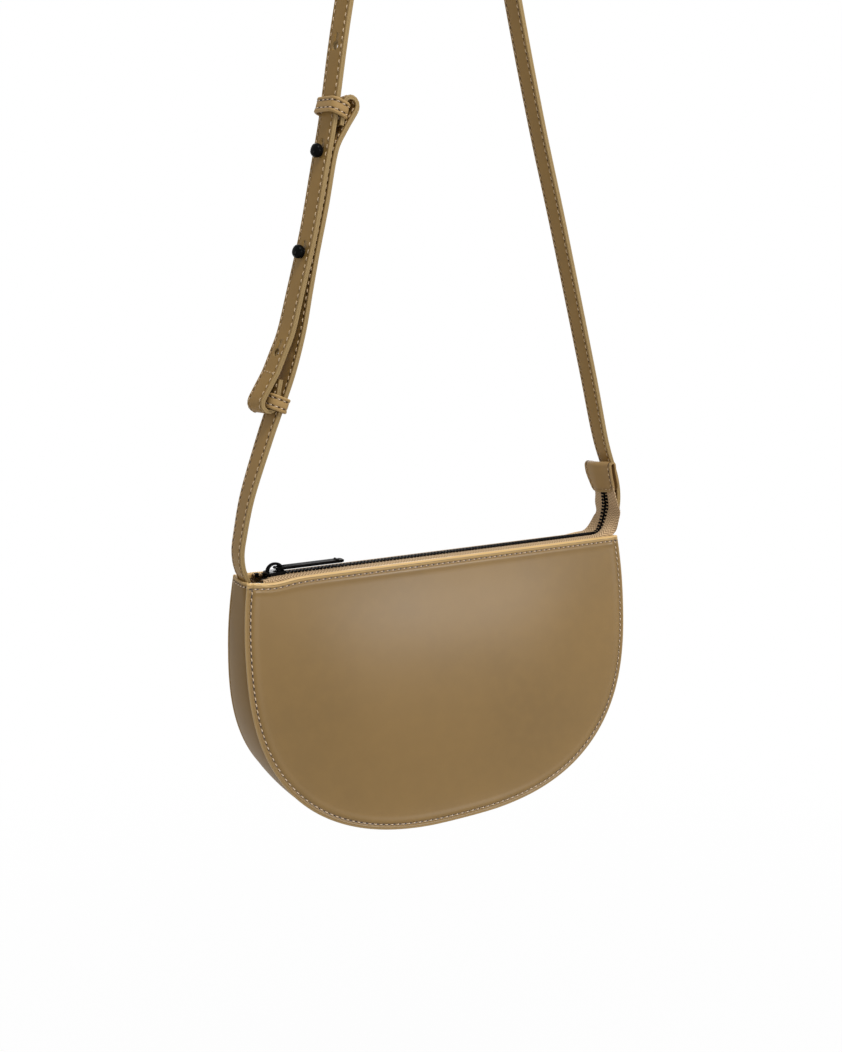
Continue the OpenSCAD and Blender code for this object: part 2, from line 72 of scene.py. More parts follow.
# %% Camera
azimuth, elevation, roll = (math.radians(angle) for angle in (-28.84, 11.33, -0.28))
focal_pixels = 1113.4
camera_distance = 0.650
towards_camera = Vector((
    math.sin(azimuth) * math.cos(elevation),
    -math.cos(azimuth) * math.cos(elevation),
    math.sin(elevation)))
level = (-towards_camera).cross(Vector((0, 0, 1))).normalized()
upright = level.cross(-towards_camera)
camera_right = math.cos(roll) * level + math.sin(roll) * upright
camera_up = -math.sin(roll) * level + math.cos(roll) * upright
camera = bpy.data.objects.new("camera", bpy.data.cameras.new("camera"))
bpy.context.scene.collection.objects.link(camera)
look_at = Vector(in_frame((-12.36, 0, 17.74)))
camera_place = look_at + towards_camera * camera_distance
axes = Matrix((camera_right, camera_up, towards_camera)).transposed()
camera.matrix_world = Matrix.Translation(camera_place) @ axes.to_4x4()
camera.data.sensor_width = 36
camera.data.lens = focal_pixels / PHOTO_HEIGHT * camera.data.sensor_width
camera.data.clip_start, camera.data.clip_end = 0.01, 50
bpy.context.scene.camera = camera
print("lens", round(camera.data.lens, 2), "mm")

# %% [markdown]
# ## Shader maths as plain expressions
# A material here is a small program: noise and seam distances go in, a colour, a roughness and a
# height come out. Wiring Math nodes by hand hides that program, so one class wraps a socket and
# turns +, -, * and / into nodes. Everything else comes from one method, `add`.


# %% Shader expressions
class Wire:
    """A number that flows through a material. Arithmetic on it adds Math nodes."""

    def __init__(self, paint, socket):
        self.paint, self.socket = paint, socket

    def maths(self, operation, *values):
        sockets = dict(enumerate(values))
        return self.paint.add("Math", {"operation": operation}, sockets)

    def __add__(self, other):
        return self.maths("ADD", self, other)

    def __sub__(self, other):
        return self.maths("SUBTRACT", self, other)

    def __rsub__(self, other):
        return self.maths("SUBTRACT", other, self)

    def __mul__(self, other):
        return self.maths("MULTIPLY", self, other)

    def __truediv__(self, other):
        return self.maths("DIVIDE", self, other)

    __radd__, __rmul__ = __add__, __mul__

    def bell(self, centre, width):
        """One at the centre, and nothing a few widths away from it."""
        away = (self - centre) / width
        return self.maths("EXPONENT", away * away * -1)

    def step(self, low, high):
        """Rises smoothly from 0 at low to 1 at high."""
        settings = {"interpolation_type": "SMOOTHSTEP"}
        sockets = {"Value": self, "From Min": low, "From Max": high}
        return self.paint.add("MapRange", settings, sockets)

    def beads(self, pitch, length):
        """A short mark at the start of each pitch, such as a needle hole."""
        share = self.maths("FRACT", self / pitch + 0.5)
        return share.bell(0.5, length / pitch / 2)


class Paint:
    """The nodes of a material, or of the world, under construction."""

    def __init__(self, owner):
        owner.use_nodes = True
        self.owner, self.tree = owner, owner.node_tree

    def add(self, kind, settings, sockets, output=0):
        """Makes a node, sets it, plugs values or wires into it and returns one of its outputs."""
        node = self.tree.nodes.new("ShaderNode" + kind)
        for key, value in settings.items():
            setattr(node, key, value)
        for key, value in sockets.items():
            self.plug(node.inputs[key], value)
        return Wire(self, node.outputs[output])

    def plug(self, socket, value):
        if isinstance(value, Wire):
            self.tree.links.new(value.socket, socket)
        else:
            socket.default_value = value

    def surface(self, **sockets):
        """Plugs values into the main shader and returns the finished material."""
        shader = self.tree.nodes["Principled BSDF"]
        for key, value in sockets.items():
            self.plug(shader.inputs[key.replace("_", " ")], value)
        return self.owner

    def mix(self, factor, first, second):
        sockets = {"Factor": factor, 6: first, 7: second}
        return self.add("Mix", {"data_type": "RGBA"}, sockets, output=2)

    def noise(self, scale, detail):
        sockets = {"Scale": scale, "Detail": detail, "Vector": self.place()}
        return self.add("TexNoise", {}, sockets)

    def place(self):
        return self.add("TexCoord", {}, {}, output="Object")

    def chart(self, name):
        """Two distances in millimetres that a mesh stores at each corner."""
        split = self.add("SeparateXYZ", {}, {0: self.add("UVMap", {"uv_map": name}, {})})
        return split, Wire(self, split.socket.node.outputs[1])

    def bump(self, height, strength, distance):
        sockets = {"Height": height, "Strength": strength, "Distance": distance}
        return self.add("Bump", {}, sockets)


def tone(red, green, blue):
    """A colour as a picture editor shows it, from 0 to 255, as Blender's linear light."""
    shares = (channel / 255 for channel in (red, green, blue))
    return [s / 12.92 if s < 0.04045 else ((s + 0.055) / 1.055) ** 2.4 for s in shares] + [1]


# %% [markdown]
# ## Leather
# Smooth calf with a soft sheen: the colour drifts slowly over the hide, the grain is finer than a
# millimetre, and the leather is a little lighter where it is rolled over an edge, with a painted
# highlight added along the rolled top fold. Each leather mesh stores how far a point lies along a
# seam and away from it, so the groove that the thread pulls in, darkened as painted shade, and the
# needle holes, painted dark as the shade inside them, come from the same numbers as the stitches
# themselves.

# %% Leather finishes
PANEL_PITCH, STRAP_PITCH = 3.6, 3.9
hole_width = 0.85
groove_dip, hole_dip = 3, 6
# How much rolled edges lighten, and how much the stitch grooves darken as painted shade.
rolled_share, groove_shade_share = 0.8, 0.42
# How far the hem fold's light band reaches: a painted highlight along the top fold.
hem_highlight_reach = 2.8


def sewn(paint, chart, rows, pitch, hole_length):
    """The groove and the needle holes of rows of stitches, each at its distance from the edge."""
    along, away = paint.chart(chart)
    groove, holes = 0.0, 0.0
    for row in rows:
        groove = away.bell(row, 0.5) + groove
        hole = along.beads(pitch, hole_length) * away.bell(row, hole_width / 2)
        holes = hole + holes
    return groove, holes, away


def leather(name, colour, edge_colour, charts, pitch=STRAP_PITCH, edge_width=1.0, shine=0.48,
            gloss=0.2, hole_length=2.0, hem_highlight_lift=1.2):
    """Leather that is lighter on its rolled edges, with a painted highlight on the hem fold, and
    dips at the stitches that its charts give, with painted shade in their grooves and needle holes.
    """
    paint = Paint(bpy.data.materials.new(name))
    drift = paint.noise(14, 3)
    pores = paint.noise(1900, 2)
    clouds = paint.noise(120, 3)
    base = paint.mix(drift.step(0.3, 0.7), [c * 0.95 for c in colour], [c * 1.05 for c in colour])
    base = paint.mix(clouds.step(0.35, 0.75) * 0.14, base, [c * 1.35 for c in colour])
    height = pores * 0.5 + clouds * 0.35
    rough = drift * 0.08 + (shine - 0.04)
    for chart, rows in charts.items():
        groove, holes, away = sewn(paint, chart, rows, pitch, hole_length)
        # On the hem chart the rolled edge is wider and brighter: a painted highlight along the top
        # fold.
        reach, highlight_lift = (hem_highlight_reach, hem_highlight_lift) if chart == "hem" else (1, 1)
        rolled = 1 - away.step(0, edge_width * reach)
        base = paint.mix(rolled * rolled_share, base, [c * highlight_lift for c in edge_colour])
        # Painted shade: the stitch groove is darkened in colour as well as dipped.
        base = paint.mix(groove * groove_shade_share, base, [c * 0.45 for c in colour])
        # The needle holes are painted dark: painted shade inside the holes.
        base = paint.mix(holes.step(0.15, 0.55), base, tone(58, 39, 23))
        height = height - groove * groove_dip - holes * hole_dip
    normal = paint.bump(height, 0.35, 0.00006)
    return paint.surface(
        Base_Color=base, Roughness=rough, Normal=normal, Specular_IOR_Level=gloss)


OLIVE = tone(132, 102, 51)
# The olive leather's lighter rolled edge, brightened further as a painted highlight.
OLIVE_EDGE_AND_HIGHLIGHT = tone(186, 154, 102)
STRAP_EDGE = tone(158, 134, 92)
panel_stitch_in, hem_stitch_down, gusset_stitch_in = 3.0, 3.2, 2.6
strap_stitch_in, tab_stitch_in = 1.9, 2.0
keeper_stitch_in, keeper_roll = 2.05, 0.7
# The panel's hem fold gets the strongest painted highlight.
panel_leather = leather(
    "panel_leather", OLIVE, OLIVE_EDGE_AND_HIGHLIGHT, {"seam": [panel_stitch_in], "hem": [hem_stitch_down]},
    PANEL_PITCH, edge_width=1.6, shine=0.36, gloss=0.5, hem_highlight_lift=1.65)
gusset_leather = leather(
    "gusset_leather", tone(123, 95, 50), OLIVE_EDGE_AND_HIGHLIGHT, {"hem": [gusset_stitch_in]}, PANEL_PITCH,
    gloss=0.12)
strap_leather = leather(
    "strap_leather", tone(145, 113, 62), STRAP_EDGE, {"seam": [strap_stitch_in]}, gloss=0.15,
    hole_length=1.5)
keeper_leather = leather(
    "keeper_leather", tone(162, 130, 82), OLIVE_EDGE_AND_HIGHLIGHT, {"seam": [keeper_stitch_in + keeper_roll]},
    PANEL_PITCH, edge_width=2.0)
tab_leather = leather(
    "tab_leather", tone(154, 123, 77), STRAP_EDGE, {"seam": [tab_stitch_in]}, PANEL_PITCH)
print("stitches lie", panel_stitch_in, gusset_stitch_in, strap_stitch_in, "mm from the edges")

# %% [markdown]
# ## Thread, cloth, zip tape and metal
# The thread is a pinkish beige that reads lighter than the leather. The zip's tape is a twill, so
# two sets of fine ribs meet in a herringbone. The metal is enamelled black: smooth on the slider
# and the studs, and almost matt on the teeth and the puller.


# %% Other finishes
def thread_finish(name, dark, light):
    paint = Paint(bpy.data.materials.new(name))
    along, around = paint.chart("seam")
    ply = paint.add("Math", {"operation": "SINE"}, {0: along * 9 + around * 6})
    base = paint.mix(ply.step(-1, 1), dark, light)
    return paint.surface(Base_Color=base, Roughness=0.6, Normal=paint.bump(ply, 0.5, 0.00005))


def tape_finish():
    paint = Paint(bpy.data.materials.new("zip_tape"))
    along, away = paint.chart("seam")
    zigzag = paint.add("Math", {"operation": "PINGPONG"}, {0: away, 1: 1.6})
    twill = paint.add("Math", {"operation": "SINE"}, {0: (along + zigzag * 1.2) * 3.5})
    fuzz = paint.noise(2600, 2)
    base = paint.mix(twill.step(-0.9, 0.9), tone(136, 106, 70), tone(216, 186, 146))
    base = paint.mix(fuzz.step(0.35, 0.7) * 0.35, base, tone(168, 140, 104))
    height = twill * 0.6 + fuzz * 0.5
    return paint.surface(
        Base_Color=base, Roughness=0.85, Normal=paint.bump(height, 0.6, 0.0001))


def cloth_finish(name, colour):
    paint = Paint(bpy.data.materials.new(name))
    warp = paint.add("TexWave", {"bands_direction": "X"}, {"Scale": 420, "Vector": paint.place()})
    weft = paint.add("TexWave", {"bands_direction": "Z"}, {"Scale": 420, "Vector": paint.place()})
    weave = warp * weft
    base = paint.mix(weave, [c * 0.8 for c in colour], colour)
    return paint.surface(Base_Color=base, Roughness=0.9, Normal=paint.bump(weave, 0.4, 0.0001))


def enamel(name, shine, gloss):
    paint = Paint(bpy.data.materials.new(name))
    wear = paint.noise(260, 3)
    base = paint.mix(wear.step(0.35, 0.75), tone(11, 11, 11), tone(20, 19, 19))
    return paint.surface(
        Base_Color=base, Roughness=wear * 0.14 + (shine - 0.07), Specular_IOR_Level=gloss,
        Normal=paint.bump(wear, 0.12, 0.00005))


thread = thread_finish("thread", tone(205, 178, 146), tone(235, 212, 184))
strap_thread = thread_finish("strap_thread", tone(184, 155, 116), tone(222, 195, 157))
zip_tape = tape_finish()
lining_cloth = cloth_finish("lining_cloth", tone(120, 96, 66))
stiffener_board = cloth_finish("stiffener_board", tone(150, 140, 122))
black_enamel = enamel("black_enamel", 0.24, 0.03)
satin_enamel = enamel("satin_enamel", 0.42, 0.004)
print("finishes:", len(bpy.data.materials))

# %% [markdown]
# ## Meshes from grids
# Nearly every soft piece here is a sheet: rows and columns of points. NumPy makes the points at
# once, and one function turns a grid into a smooth mesh with its seam distances as a UV map. Edges
# that bend sharply are marked, so a cut edge stays crisp between smooth faces.


# %% Mesh helpers
weld_reach = 0.002


def smoothstep(value, low, high):
    """Rises smoothly from 0 at low to 1 at high."""
    share = np.clip((np.asarray(value, float) - low) / (high - low), 0, 1)
    return share * share * (3 - 2 * share)


def mesh_piece(name, points, faces, finish, charts=None, sharp=50, weld=False):
    """An object from points in millimetres, faces, and charts of two distances for each point."""
    mesh = bpy.data.meshes.new(name)
    mesh.from_pydata(in_frame(points).tolist(), [], [list(map(int, f)) for f in faces])
    corners = np.empty(len(mesh.loops), int)
    mesh.loops.foreach_get("vertex_index", corners)
    for chart, values in (charts or {}).items():
        layer = mesh.uv_layers.new(name=chart)
        layer.data.foreach_set("uv", np.asarray(values, float)[corners].ravel())
    shape = bmesh.new()
    shape.from_mesh(mesh)
    if weld:
        bmesh.ops.remove_doubles(shape, verts=shape.verts, dist=weld_reach * MM)
    bmesh.ops.dissolve_degenerate(shape, dist=1e-7, edges=shape.edges)
    for face in shape.faces:
        face.smooth = True
    for edge in shape.edges:
        if len(edge.link_faces) == 2 and edge.calc_face_angle(0) > math.radians(sharp):
            edge.smooth = False
    shape.to_mesh(mesh)
    shape.free()
    mesh.materials.append(finish)
    piece = bpy.data.objects.new(name, mesh)
    bpy.context.scene.collection.objects.link(piece)
    return piece


def grid_faces(rows, columns, ring=False, caps=False, flip=False):
    """The quads between neighbouring points. A ring joins the last column to the first."""
    index = np.arange(rows * columns).reshape(rows, columns)
    if ring:
        index = np.hstack([index, index[:, :1]])
    quads = np.stack([index[:-1, :-1], index[:-1, 1:], index[1:, 1:], index[1:, :-1]], -1)
    faces = quads.reshape(-1, 4).tolist()
    if caps:
        faces += [index[0, :columns][::-1].tolist(), index[-1, :columns].tolist()]
    return [face[::-1] for face in faces] if flip else faces


def sheet(name, grid, finish, charts=None, flip=False, ring=False, caps=False, sharp=50,
          weld=False):
    """A mesh from a grid of points with shape (rows, columns, 3)."""
    rows, columns = grid.shape[:2]
    flat = {key: values.reshape(-1, 2) for key, values in (charts or {}).items()}
    faces = grid_faces(rows, columns, ring, caps, flip)
    return mesh_piece(name, grid.reshape(-1, 3), faces, finish, flat, sharp, weld)


def unit(vectors):
    return vectors / np.maximum(np.linalg.norm(vectors, axis=-1, keepdims=True), 1e-9)


def lengths(points):
    """The distance along a line of points to each of them."""
    steps = np.linalg.norm(np.diff(points, axis=0), axis=1)
    return np.concatenate([[0], np.cumsum(steps)])


def along(points, distances):
    """Points at distances along a line."""
    measured = lengths(points)
    return np.stack([np.interp(distances, measured, axis) for axis in np.asarray(points).T], -1)


def chart_of(run, away):
    """A chart for a grid: each row's distance along the seam, and every point's away from it."""
    return np.stack(np.broadcast_arrays(run[:, None], away), -1)


def soft(value, power):
    """A sine or cosine drawn towards its ends, which turns a circle into a soft rectangle."""
    return np.sign(value) * np.abs(value) ** power


def on_body(piece, body, slot, *nodes):
    """Rides a piece on its body and hides the CAD nodes it stands for. The slot is not used."""
    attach(piece, body)
    if nodes:
        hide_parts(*nodes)
    return piece


# %% [markdown]
# ## Stitches
# A sewing machine lays one short bridge of thread between two needle holes. Each stitch is a small
# bent capsule whose ends dive into the leather. All the stitches of a seam are one mesh, because a
# bag has a thousand of them, and they are laid with a little unevenness from a seeded generator.

# %% Stitch maker
thread_r, thread_lift = 0.33, 0.04
stitch_rings, stitch_sides = 7, 6
chance = np.random.default_rng(7)


def stitch_row(name, points, outward, body=None, slot="body_leather", pitch=PANEL_PITCH,
               length=1.9, r=thread_r, finish=thread):
    """Stitches centred along a line of points, one for each pitch, on the side facing outward."""
    centres = np.arange(pitch / 2, lengths(points)[-1], pitch)
    place = along(points, centres)
    ahead = unit(along(points, centres + 0.5) - along(points, centres - 0.5))
    out = unit(along(np.hstack([points, outward]), centres)[:, 3:])
    side = unit(np.cross(out, ahead))
    t = np.linspace(-1, 1, stitch_rings)
    angle = np.linspace(0, 2 * math.pi, stitch_sides, endpoint=False)
    width = r * np.sqrt(np.clip(1 - 0.75 * t ** 4, 0.05, 1))
    rise = thread_lift + r * 0.7 - (r * 2.2) * t ** 4
    lean = chance.normal(0.10, 0.04, len(centres))[:, None, None]
    stretch = chance.normal(1, 0.05, len(centres))[:, None, None]
    u = (t[None, :, None] * length / 2) * stretch + 0 * angle
    v = (width[:, None] * np.cos(angle))[None] + u * lean
    w = (rise[:, None] + width[:, None] * np.sin(angle))[None]
    axes = (ahead[:, None, None], side[:, None, None], out[:, None, None])
    grid = place[:, None, None] + sum(d[..., None] * axis for d, axis in zip((u, v, w), axes))
    one = np.array(grid_faces(stitch_rings, stitch_sides, ring=True))
    starts = np.arange(len(centres)) * stitch_rings * stitch_sides
    faces = one[None] + starts[:, None, None]
    chart = np.stack([u + centres[:, None, None], angle + 0 * u], -1)
    piece = mesh_piece(
        name, grid.reshape(-1, 3), faces.reshape(-1, 4), finish, {"seam": chart.reshape(-1, 2)},
        sharp=80)
    if body:
        on_body(piece, body, slot)
    return piece


# %% [markdown]
# ## The outline and the walls
# The panel is a half moon: nearly straight sides over a superellipse. The bag is thin at the zip
# and deeper at its base, so each wall leans out as it goes down. The same two rules as in the CAD
# give a point of the front wall for any place on the flat panel, and a soft crown is added on top.

# %% Outline and walls
half_width, half_top, bag_height, widest_drop = 127.5, 124, 156, 42
top_depth, base_depth = 23, 60
belly_power, depth_power = 2.6, 0.69
fold_r = 1.15
crown = 4.2
fine_until = 9


def half_depth(z):
    share = np.clip(-np.asarray(z, float) / bag_height, 0, 1)
    return (top_depth + (base_depth - top_depth) * (1 - (1.004 - share) ** depth_power)) / 2


def make_outline():
    share = np.linspace(1, 0, 60)
    narrower = (half_width - half_top) * share ** 2
    side = np.stack([half_width - narrower, -widest_drop * (1 - share)], -1)
    a = np.radians(np.linspace(0, 90, 500))[1:]
    belly = np.stack([
        half_width * np.cos(a).clip(0) ** (2 / belly_power),
        -widest_drop - (bag_height - widest_drop) * np.sin(a) ** (2 / belly_power)], -1)
    right = np.vstack([side, belly])
    return np.vstack([right * (-1, 1), right[-2::-1]])


outline = make_outline()
rim = lengths(outline)[-1]
fine_steps = np.arange(fold_r, fine_until, 0.4)
seam_steps = np.unique(np.round(np.concatenate([
    fine_steps, np.arange(fine_until, rim - fine_until, 0.9), rim - fine_steps[::-1]]), 3))


def inward(distance):
    """The direction into the panel, square to its outline. It is level at the two top corners."""
    ahead = unit(along(outline, distance + 0.4) - along(outline, distance - 0.4))
    normal = np.stack([-ahead[:, 1], ahead[:, 0]], -1)
    corner = np.minimum(distance, rim - distance)
    flat = np.stack([np.sign(rim / 2 - distance), 0 * distance], -1)
    bend = smoothstep(corner, 0, 12)[:, None]
    return unit(flat * (1 - bend) + normal * bend)


def sag(x, z, side):
    """How far the top edge sinks: the front one at the slider, the back one along its middle."""
    at_slider = -1.7 * np.exp(-((x + 109) / 11) ** 2)
    in_middle = -1.5 * (1 - smoothstep(np.abs(x), 92, 112))
    return (at_slider if side < 0 else in_middle) * np.exp(-(z / 14) ** 2)


def wall(x, z, out=0.0, dip=True, side=-1):
    """A point on the wall, moved out of it by a distance. The back wall mirrors the front one."""
    y = -half_depth(z)
    lean = half_depth(z - 0.5) - half_depth(z + 0.5)
    size = np.sqrt(1 + lean ** 2)
    sink = sag(x, z, side) if dip else 0
    return np.stack([x + 0 * y, -side * (y - out / size), z + sink + out * lean / size], -1)


def edge_distance(x, z):
    """How far a place on the flat panel lies from its sewn outline."""
    flat = np.stack([np.ravel(x), np.ravel(z)], -1)
    rim_points = along(outline, np.linspace(0, rim, 500))
    nearest = [np.sqrt(((block[:, None] - rim_points) ** 2).sum(-1)).min(1)
               for block in np.array_split(flat, 20)]
    return np.concatenate(nearest).reshape(np.shape(x))


def panel_relief(away, down):
    """How far the leather stands out of the wall near its seam and its top fold."""
    lip = -0.75 * (1 - np.sqrt(1 - (1 - np.clip(away / 0.75, 0, 1)) ** 2))
    ridge = 0.26 * np.exp(-((away - 1.4) / 0.75) ** 2)
    groove = -0.38 * np.exp(-((away - panel_stitch_in) / 0.6) ** 2)
    swell = 0.26 * np.exp(-((away - 5.0) / 1.5) ** 2)
    hem_groove = -0.38 * np.exp(-((down - hem_stitch_down) / 0.6) ** 2)
    hem_roll = (0.5 * np.exp(-((down - 1.5) / 0.95) ** 2)
                + 0.22 * np.exp(-((down - 5.2) / 1.3) ** 2))
    inside = smoothstep(away, 0, 2)
    dome = crown * (1 - np.exp(-(away / 42) ** 2)) * (1 - np.exp(-(down / 45) ** 2))
    return lip + ridge + groove + swell + (hem_groove + hem_roll) * inside + dome


print("outline", round(rim), "mm round,", len(seam_steps), "steps")

# %% [markdown]
# ## Front and back panels
# Each panel is a grid. Its first rows follow the seam closely, where the leather is cut, rolled,
# sewn and grooved. The next rows cross over the face, and the last ones follow the stitched hem.
# A second grid carries the leather over the top fold and down inside, and is welded to the first.
# The two panels are mirror images.

# %% Panels
leather_t = 1.3
cut_edge = [(4.0, -leather_t), (0.15, -leather_t), (0.05, -0.95)]
near_rows = [
    0, 0.12, 0.3, 0.55, 0.9, 1.3, 1.7, 2.1, 2.5, 2.75, 3.0, 3.25, 3.5, 3.9, 4.5, 5.4, 6.6, 8.0]
hem_rows = [8, 6.5, 5.3, 4.4, 3.7, 3.15, 2.75, 2.4, 2.05, 1.7, 1.3, 0.85, 0.4, 0]
wide_rows = np.linspace(0, 1, 26)[1:-1]
fold_angles = np.radians(np.linspace(0, 180, 9))[1:]
hem_depths = (2.5, 5, 8, 12)


def flat_panel():
    """The panel in x and z: rows along the seam, rows that cross over, and rows along the hem."""
    start, into = along(outline, seam_steps), inward(seam_steps)
    rows = [start + d * into for d in near_rows]
    rows[0][[0, -1], 1] = -fold_r
    last = rows[-1]
    reach = last[-1, 0]
    top = np.stack([reach * (2 * seam_steps / rim - 1), np.full_like(seam_steps, -fold_r)], -1)
    top[0, 0], top[-1, 0] = -reach, reach
    room = np.clip(-(last[:, 1:] + fold_r) / 12, 0, 1)
    hems = [top - room * (0, h) for h in hem_rows]
    rows += [last * (1 - t) + hems[0] * t for t in wide_rows] + hems
    grid = np.stack(rows)
    grid[:, 0, 1] = grid[:, -1, 1] = -fold_r
    return grid


def panel(name, side, *nodes):
    """A panel with its cut edge, face and turned-in hem, on the side -1 (front) or 1 (back)."""
    grid = flat_panel()
    x, z = grid[..., 0], grid[..., 1]
    away = edge_distance(x, z)
    away[:len(near_rows)] = np.array(near_rows)[:, None]
    down = -z
    face = wall(x, z, panel_relief(away, down), side=side)
    edge = []
    for d, out in cut_edge:
        flat = along(outline, seam_steps) + d * inward(seam_steps)
        flat[[0, -1], 1] = -fold_r
        edge.append(wall(flat[:, 0], flat[:, 1], out, side=side))
    face = np.vstack([np.stack(edge), face])
    away = np.vstack([np.zeros((len(cut_edge), face.shape[1])), away])
    down = np.vstack([np.repeat(down[:1], len(cut_edge), 0), down])
    run = np.repeat(seam_steps[None], len(face), 0)
    charts = {"seam": np.stack([run, away], -1), "hem": np.stack([face[..., 0], down], -1)}
    piece = sheet(name, face, panel_leather, charts, flip=side < 0, weld=True)
    hem = turned_hem(name + "_hem", side, face, charts["seam"])
    return on_body(joined(piece, hem), "bag", "body_leather", *nodes)


def turned_hem(name, side, face, seam):
    """The fold over the top edge and the turned-in leather behind it."""
    corner, last = len(cut_edge) + len(near_rows), face.shape[1] - 1
    border = [(row, 0) for row in range(corner)]
    border += [(-1, column) for column in range(1, last)]
    border += [(row, last) for row in range(corner)[::-1]]
    rows, columns = np.array(border).T
    top = face[rows, columns]
    out_of_wall = side * top[:, 1] - half_depth(top[:, 2])
    turn = []
    for a in np.concatenate([[0], fold_angles]):
        y = top[:, 1] - side * ((fold_r + out_of_wall / 2) * (1 - math.cos(a)))
        turn.append(np.stack([top[:, 0], y, top[:, 2] + fold_r * math.sin(a)], -1))
    turn += [turn[-1] + (0, 0, fold_r - h) for h in hem_depths]
    turn = np.stack(turn)
    above = np.concatenate([[1.15], 0.5 - 0.6 * np.sin(fold_angles), [-0.5] * len(hem_depths)])
    hem = np.stack([turn[..., 0], above[:, None] + 0 * turn[..., 0]], -1)
    seam = np.repeat(seam[rows, columns][None], len(turn), 0)
    charts = {"seam": seam, "hem": hem}
    return sheet(name, turn, panel_leather, charts, flip=side > 0, weld=True)


def joined(piece, other):
    """Two meshes with the same charts as one, welded where their edges meet."""
    shape = bmesh.new()
    shape.from_mesh(piece.data)
    shape.from_mesh(other.data)
    bmesh.ops.remove_doubles(shape, verts=shape.verts, dist=2 * weld_reach * MM)
    shape.to_mesh(piece.data)
    shape.free()
    bpy.data.objects.remove(other)
    return piece


front = panel("front_leather", -1, "front_panel", "front_top_hem")
rear = panel("back_leather", 1, "back_panel", "back_top_hem")
print("panel faces", len(front.data.polygons), len(rear.data.polygons))


# %% Panel stitching
def panel_stitches(side, label):
    """The rows along a panel's seam and along its hem, sunk a little into the leather."""
    steps = np.arange(PANEL_PITCH, rim - PANEL_PITCH, 0.5)
    flat = along(outline, steps) + panel_stitch_in * inward(steps)
    x = np.arange(-half_top + 2.5, half_top - 2.5, 0.5)
    seam = wall(flat[:, 0], flat[:, 1], -0.1, side=side)
    hem = wall(x, np.full_like(x, -hem_stitch_down), -0.1, side=side)
    for name, line, length in (("seam", seam, 1.9), ("hem", hem, 1.5)):
        out = np.tile([0.0, side, 0.0], (len(line), 1))
        stitch_row(f"{label}_{name}_stitches", line, out, "bag", length=length)
    print(label, "seam", round(lengths(seam)[-1]), "mm, hem", round(lengths(hem)[-1]), "mm")


panel_stitches(-1, "front")
panel_stitches(1, "back")

# %% [markdown]
# ## The gusset
# One long strip runs round under the panels. It lies just inside their edges, draws in where it
# meets them and swells between. Its two ends are turned over at the mouth and stitched across.

# %% Gusset
gusset_inset, end_fold_r = 0.2, 0.85


def gusset_point(steps, across, out=0.0):
    """Across runs from -1 at the front seam to 1 at the back seam."""
    flat, into = along(outline, steps), inward(steps)
    swell = 1.8 * (1 - across ** 2) * smoothstep(-flat[:, 1], 2, 60)
    draw_in = 0.35 * np.abs(across) ** 9
    bulge = 1.0 * np.exp(-(flat[:, 1] / 9) ** 2) * (1 - across ** 4) * (flat[:, 0] < 0)
    inset = gusset_inset + draw_in - swell * 0.6 - bulge - out
    flat = flat + into * inset[:, None]
    y = across * (half_depth(flat[:, 1]) - leather_t * 0.9)
    return np.stack([flat[:, 0], y, flat[:, 1]], -1)


def gusset():
    """The strip with both ends turned over, as a column of points for each place across it."""
    spread = np.sin(np.linspace(-1, 1, 33) * math.pi / 2)
    columns = []
    for across in spread:
        line = gusset_point(seam_steps, across)
        ends = []
        for top, direction in ((line[0], 1), (line[-1], -1)):
            turn = [top + (
                direction * end_fold_r * (1 - math.cos(a)), 0,
                fold_r * math.sin(a) - 0.7 * (1 - across ** 2) * math.sin(a)) for a in fold_angles]
            turn += [turn[-1] + (0, 0, fold_r - h) for h in hem_depths]
            ends.append(np.array(turn))
        columns.append(np.vstack([ends[0][::-1], line, ends[1]]))
    turned = len(fold_angles) + len(hem_depths)
    away = np.pad(np.minimum(seam_steps, rim - seam_steps), turned, constant_values=0.2)
    chart = chart_of(spread * top_depth / 2, away)
    return sheet("gusset_leather_strip", np.stack(columns), gusset_leather, {"hem": chart})


on_body(gusset(), "bag", "body_leather", "gusset", "left_end_hem", "right_end_hem")
for end, steps, way in (("left", gusset_stitch_in, -1.0), ("right", rim - gusset_stitch_in, 1.0)):
    across = np.linspace(-0.92, 0.92, 40)
    line = np.vstack([gusset_point(np.array([steps]), a, -0.05) for a in across])
    line[:, 2] -= 0.5 * (1 - across ** 2)
    out = np.tile([way, 0, 0], (len(line), 1))
    stitch_row(f"{end}_gusset_stitches", line, out, "bag")
    print(end, "end of the gusset", round(lengths(line)[-1]), "mm across")

# %% [markdown]
# ## The strap's route
# The strap is two leathers sewn back to back. Its route is the CAD's: shares of the bag's half
# width and of the strap's drop, joined by a smooth curve, with round turns at both loose ends. On
# the left the hanging strap twists a little, so its face turns towards the camera.

# %% Strap route
strap_w, ply, turn_r, foot_x, foot_deep = 14, 1.3, 4, 119.65, 18
support_r = 13
lower_lean, upper_lean = 12, 9.5


def placed(shares):
    """Points from their shares of the bag's half width and of the strap's drop."""
    return np.array(shares) * (half_top, STRAP_DROP)


def curve(points):
    """A smooth curve through the points, with 16 steps between two of them."""
    p = np.vstack([points[0], points, points[-1]])
    t = (np.arange(16) / 16)[:, None]
    parts = []
    for a, b, c, d in zip(p, p[1:], p[2:], p[3:]):
        parts.append(0.5 * (2 * b + (c - a) * t + (2 * a - 5 * b + 4 * c - d) * t ** 2
                            + (3 * b - a - 3 * c + d) * t ** 3))
    return np.vstack(parts + [points[-1:]])


def arc(centre, r, start, end):
    """A round turn between two angles in degrees."""
    a = np.radians(np.linspace(start, end, 25))
    return np.array(centre) + r * np.stack([np.cos(a), np.sin(a)], -1)


def leaning(angle):
    """The way up, leaning to the right by an angle in degrees."""
    return np.array([math.sin(math.radians(angle)), math.cos(math.radians(angle))])


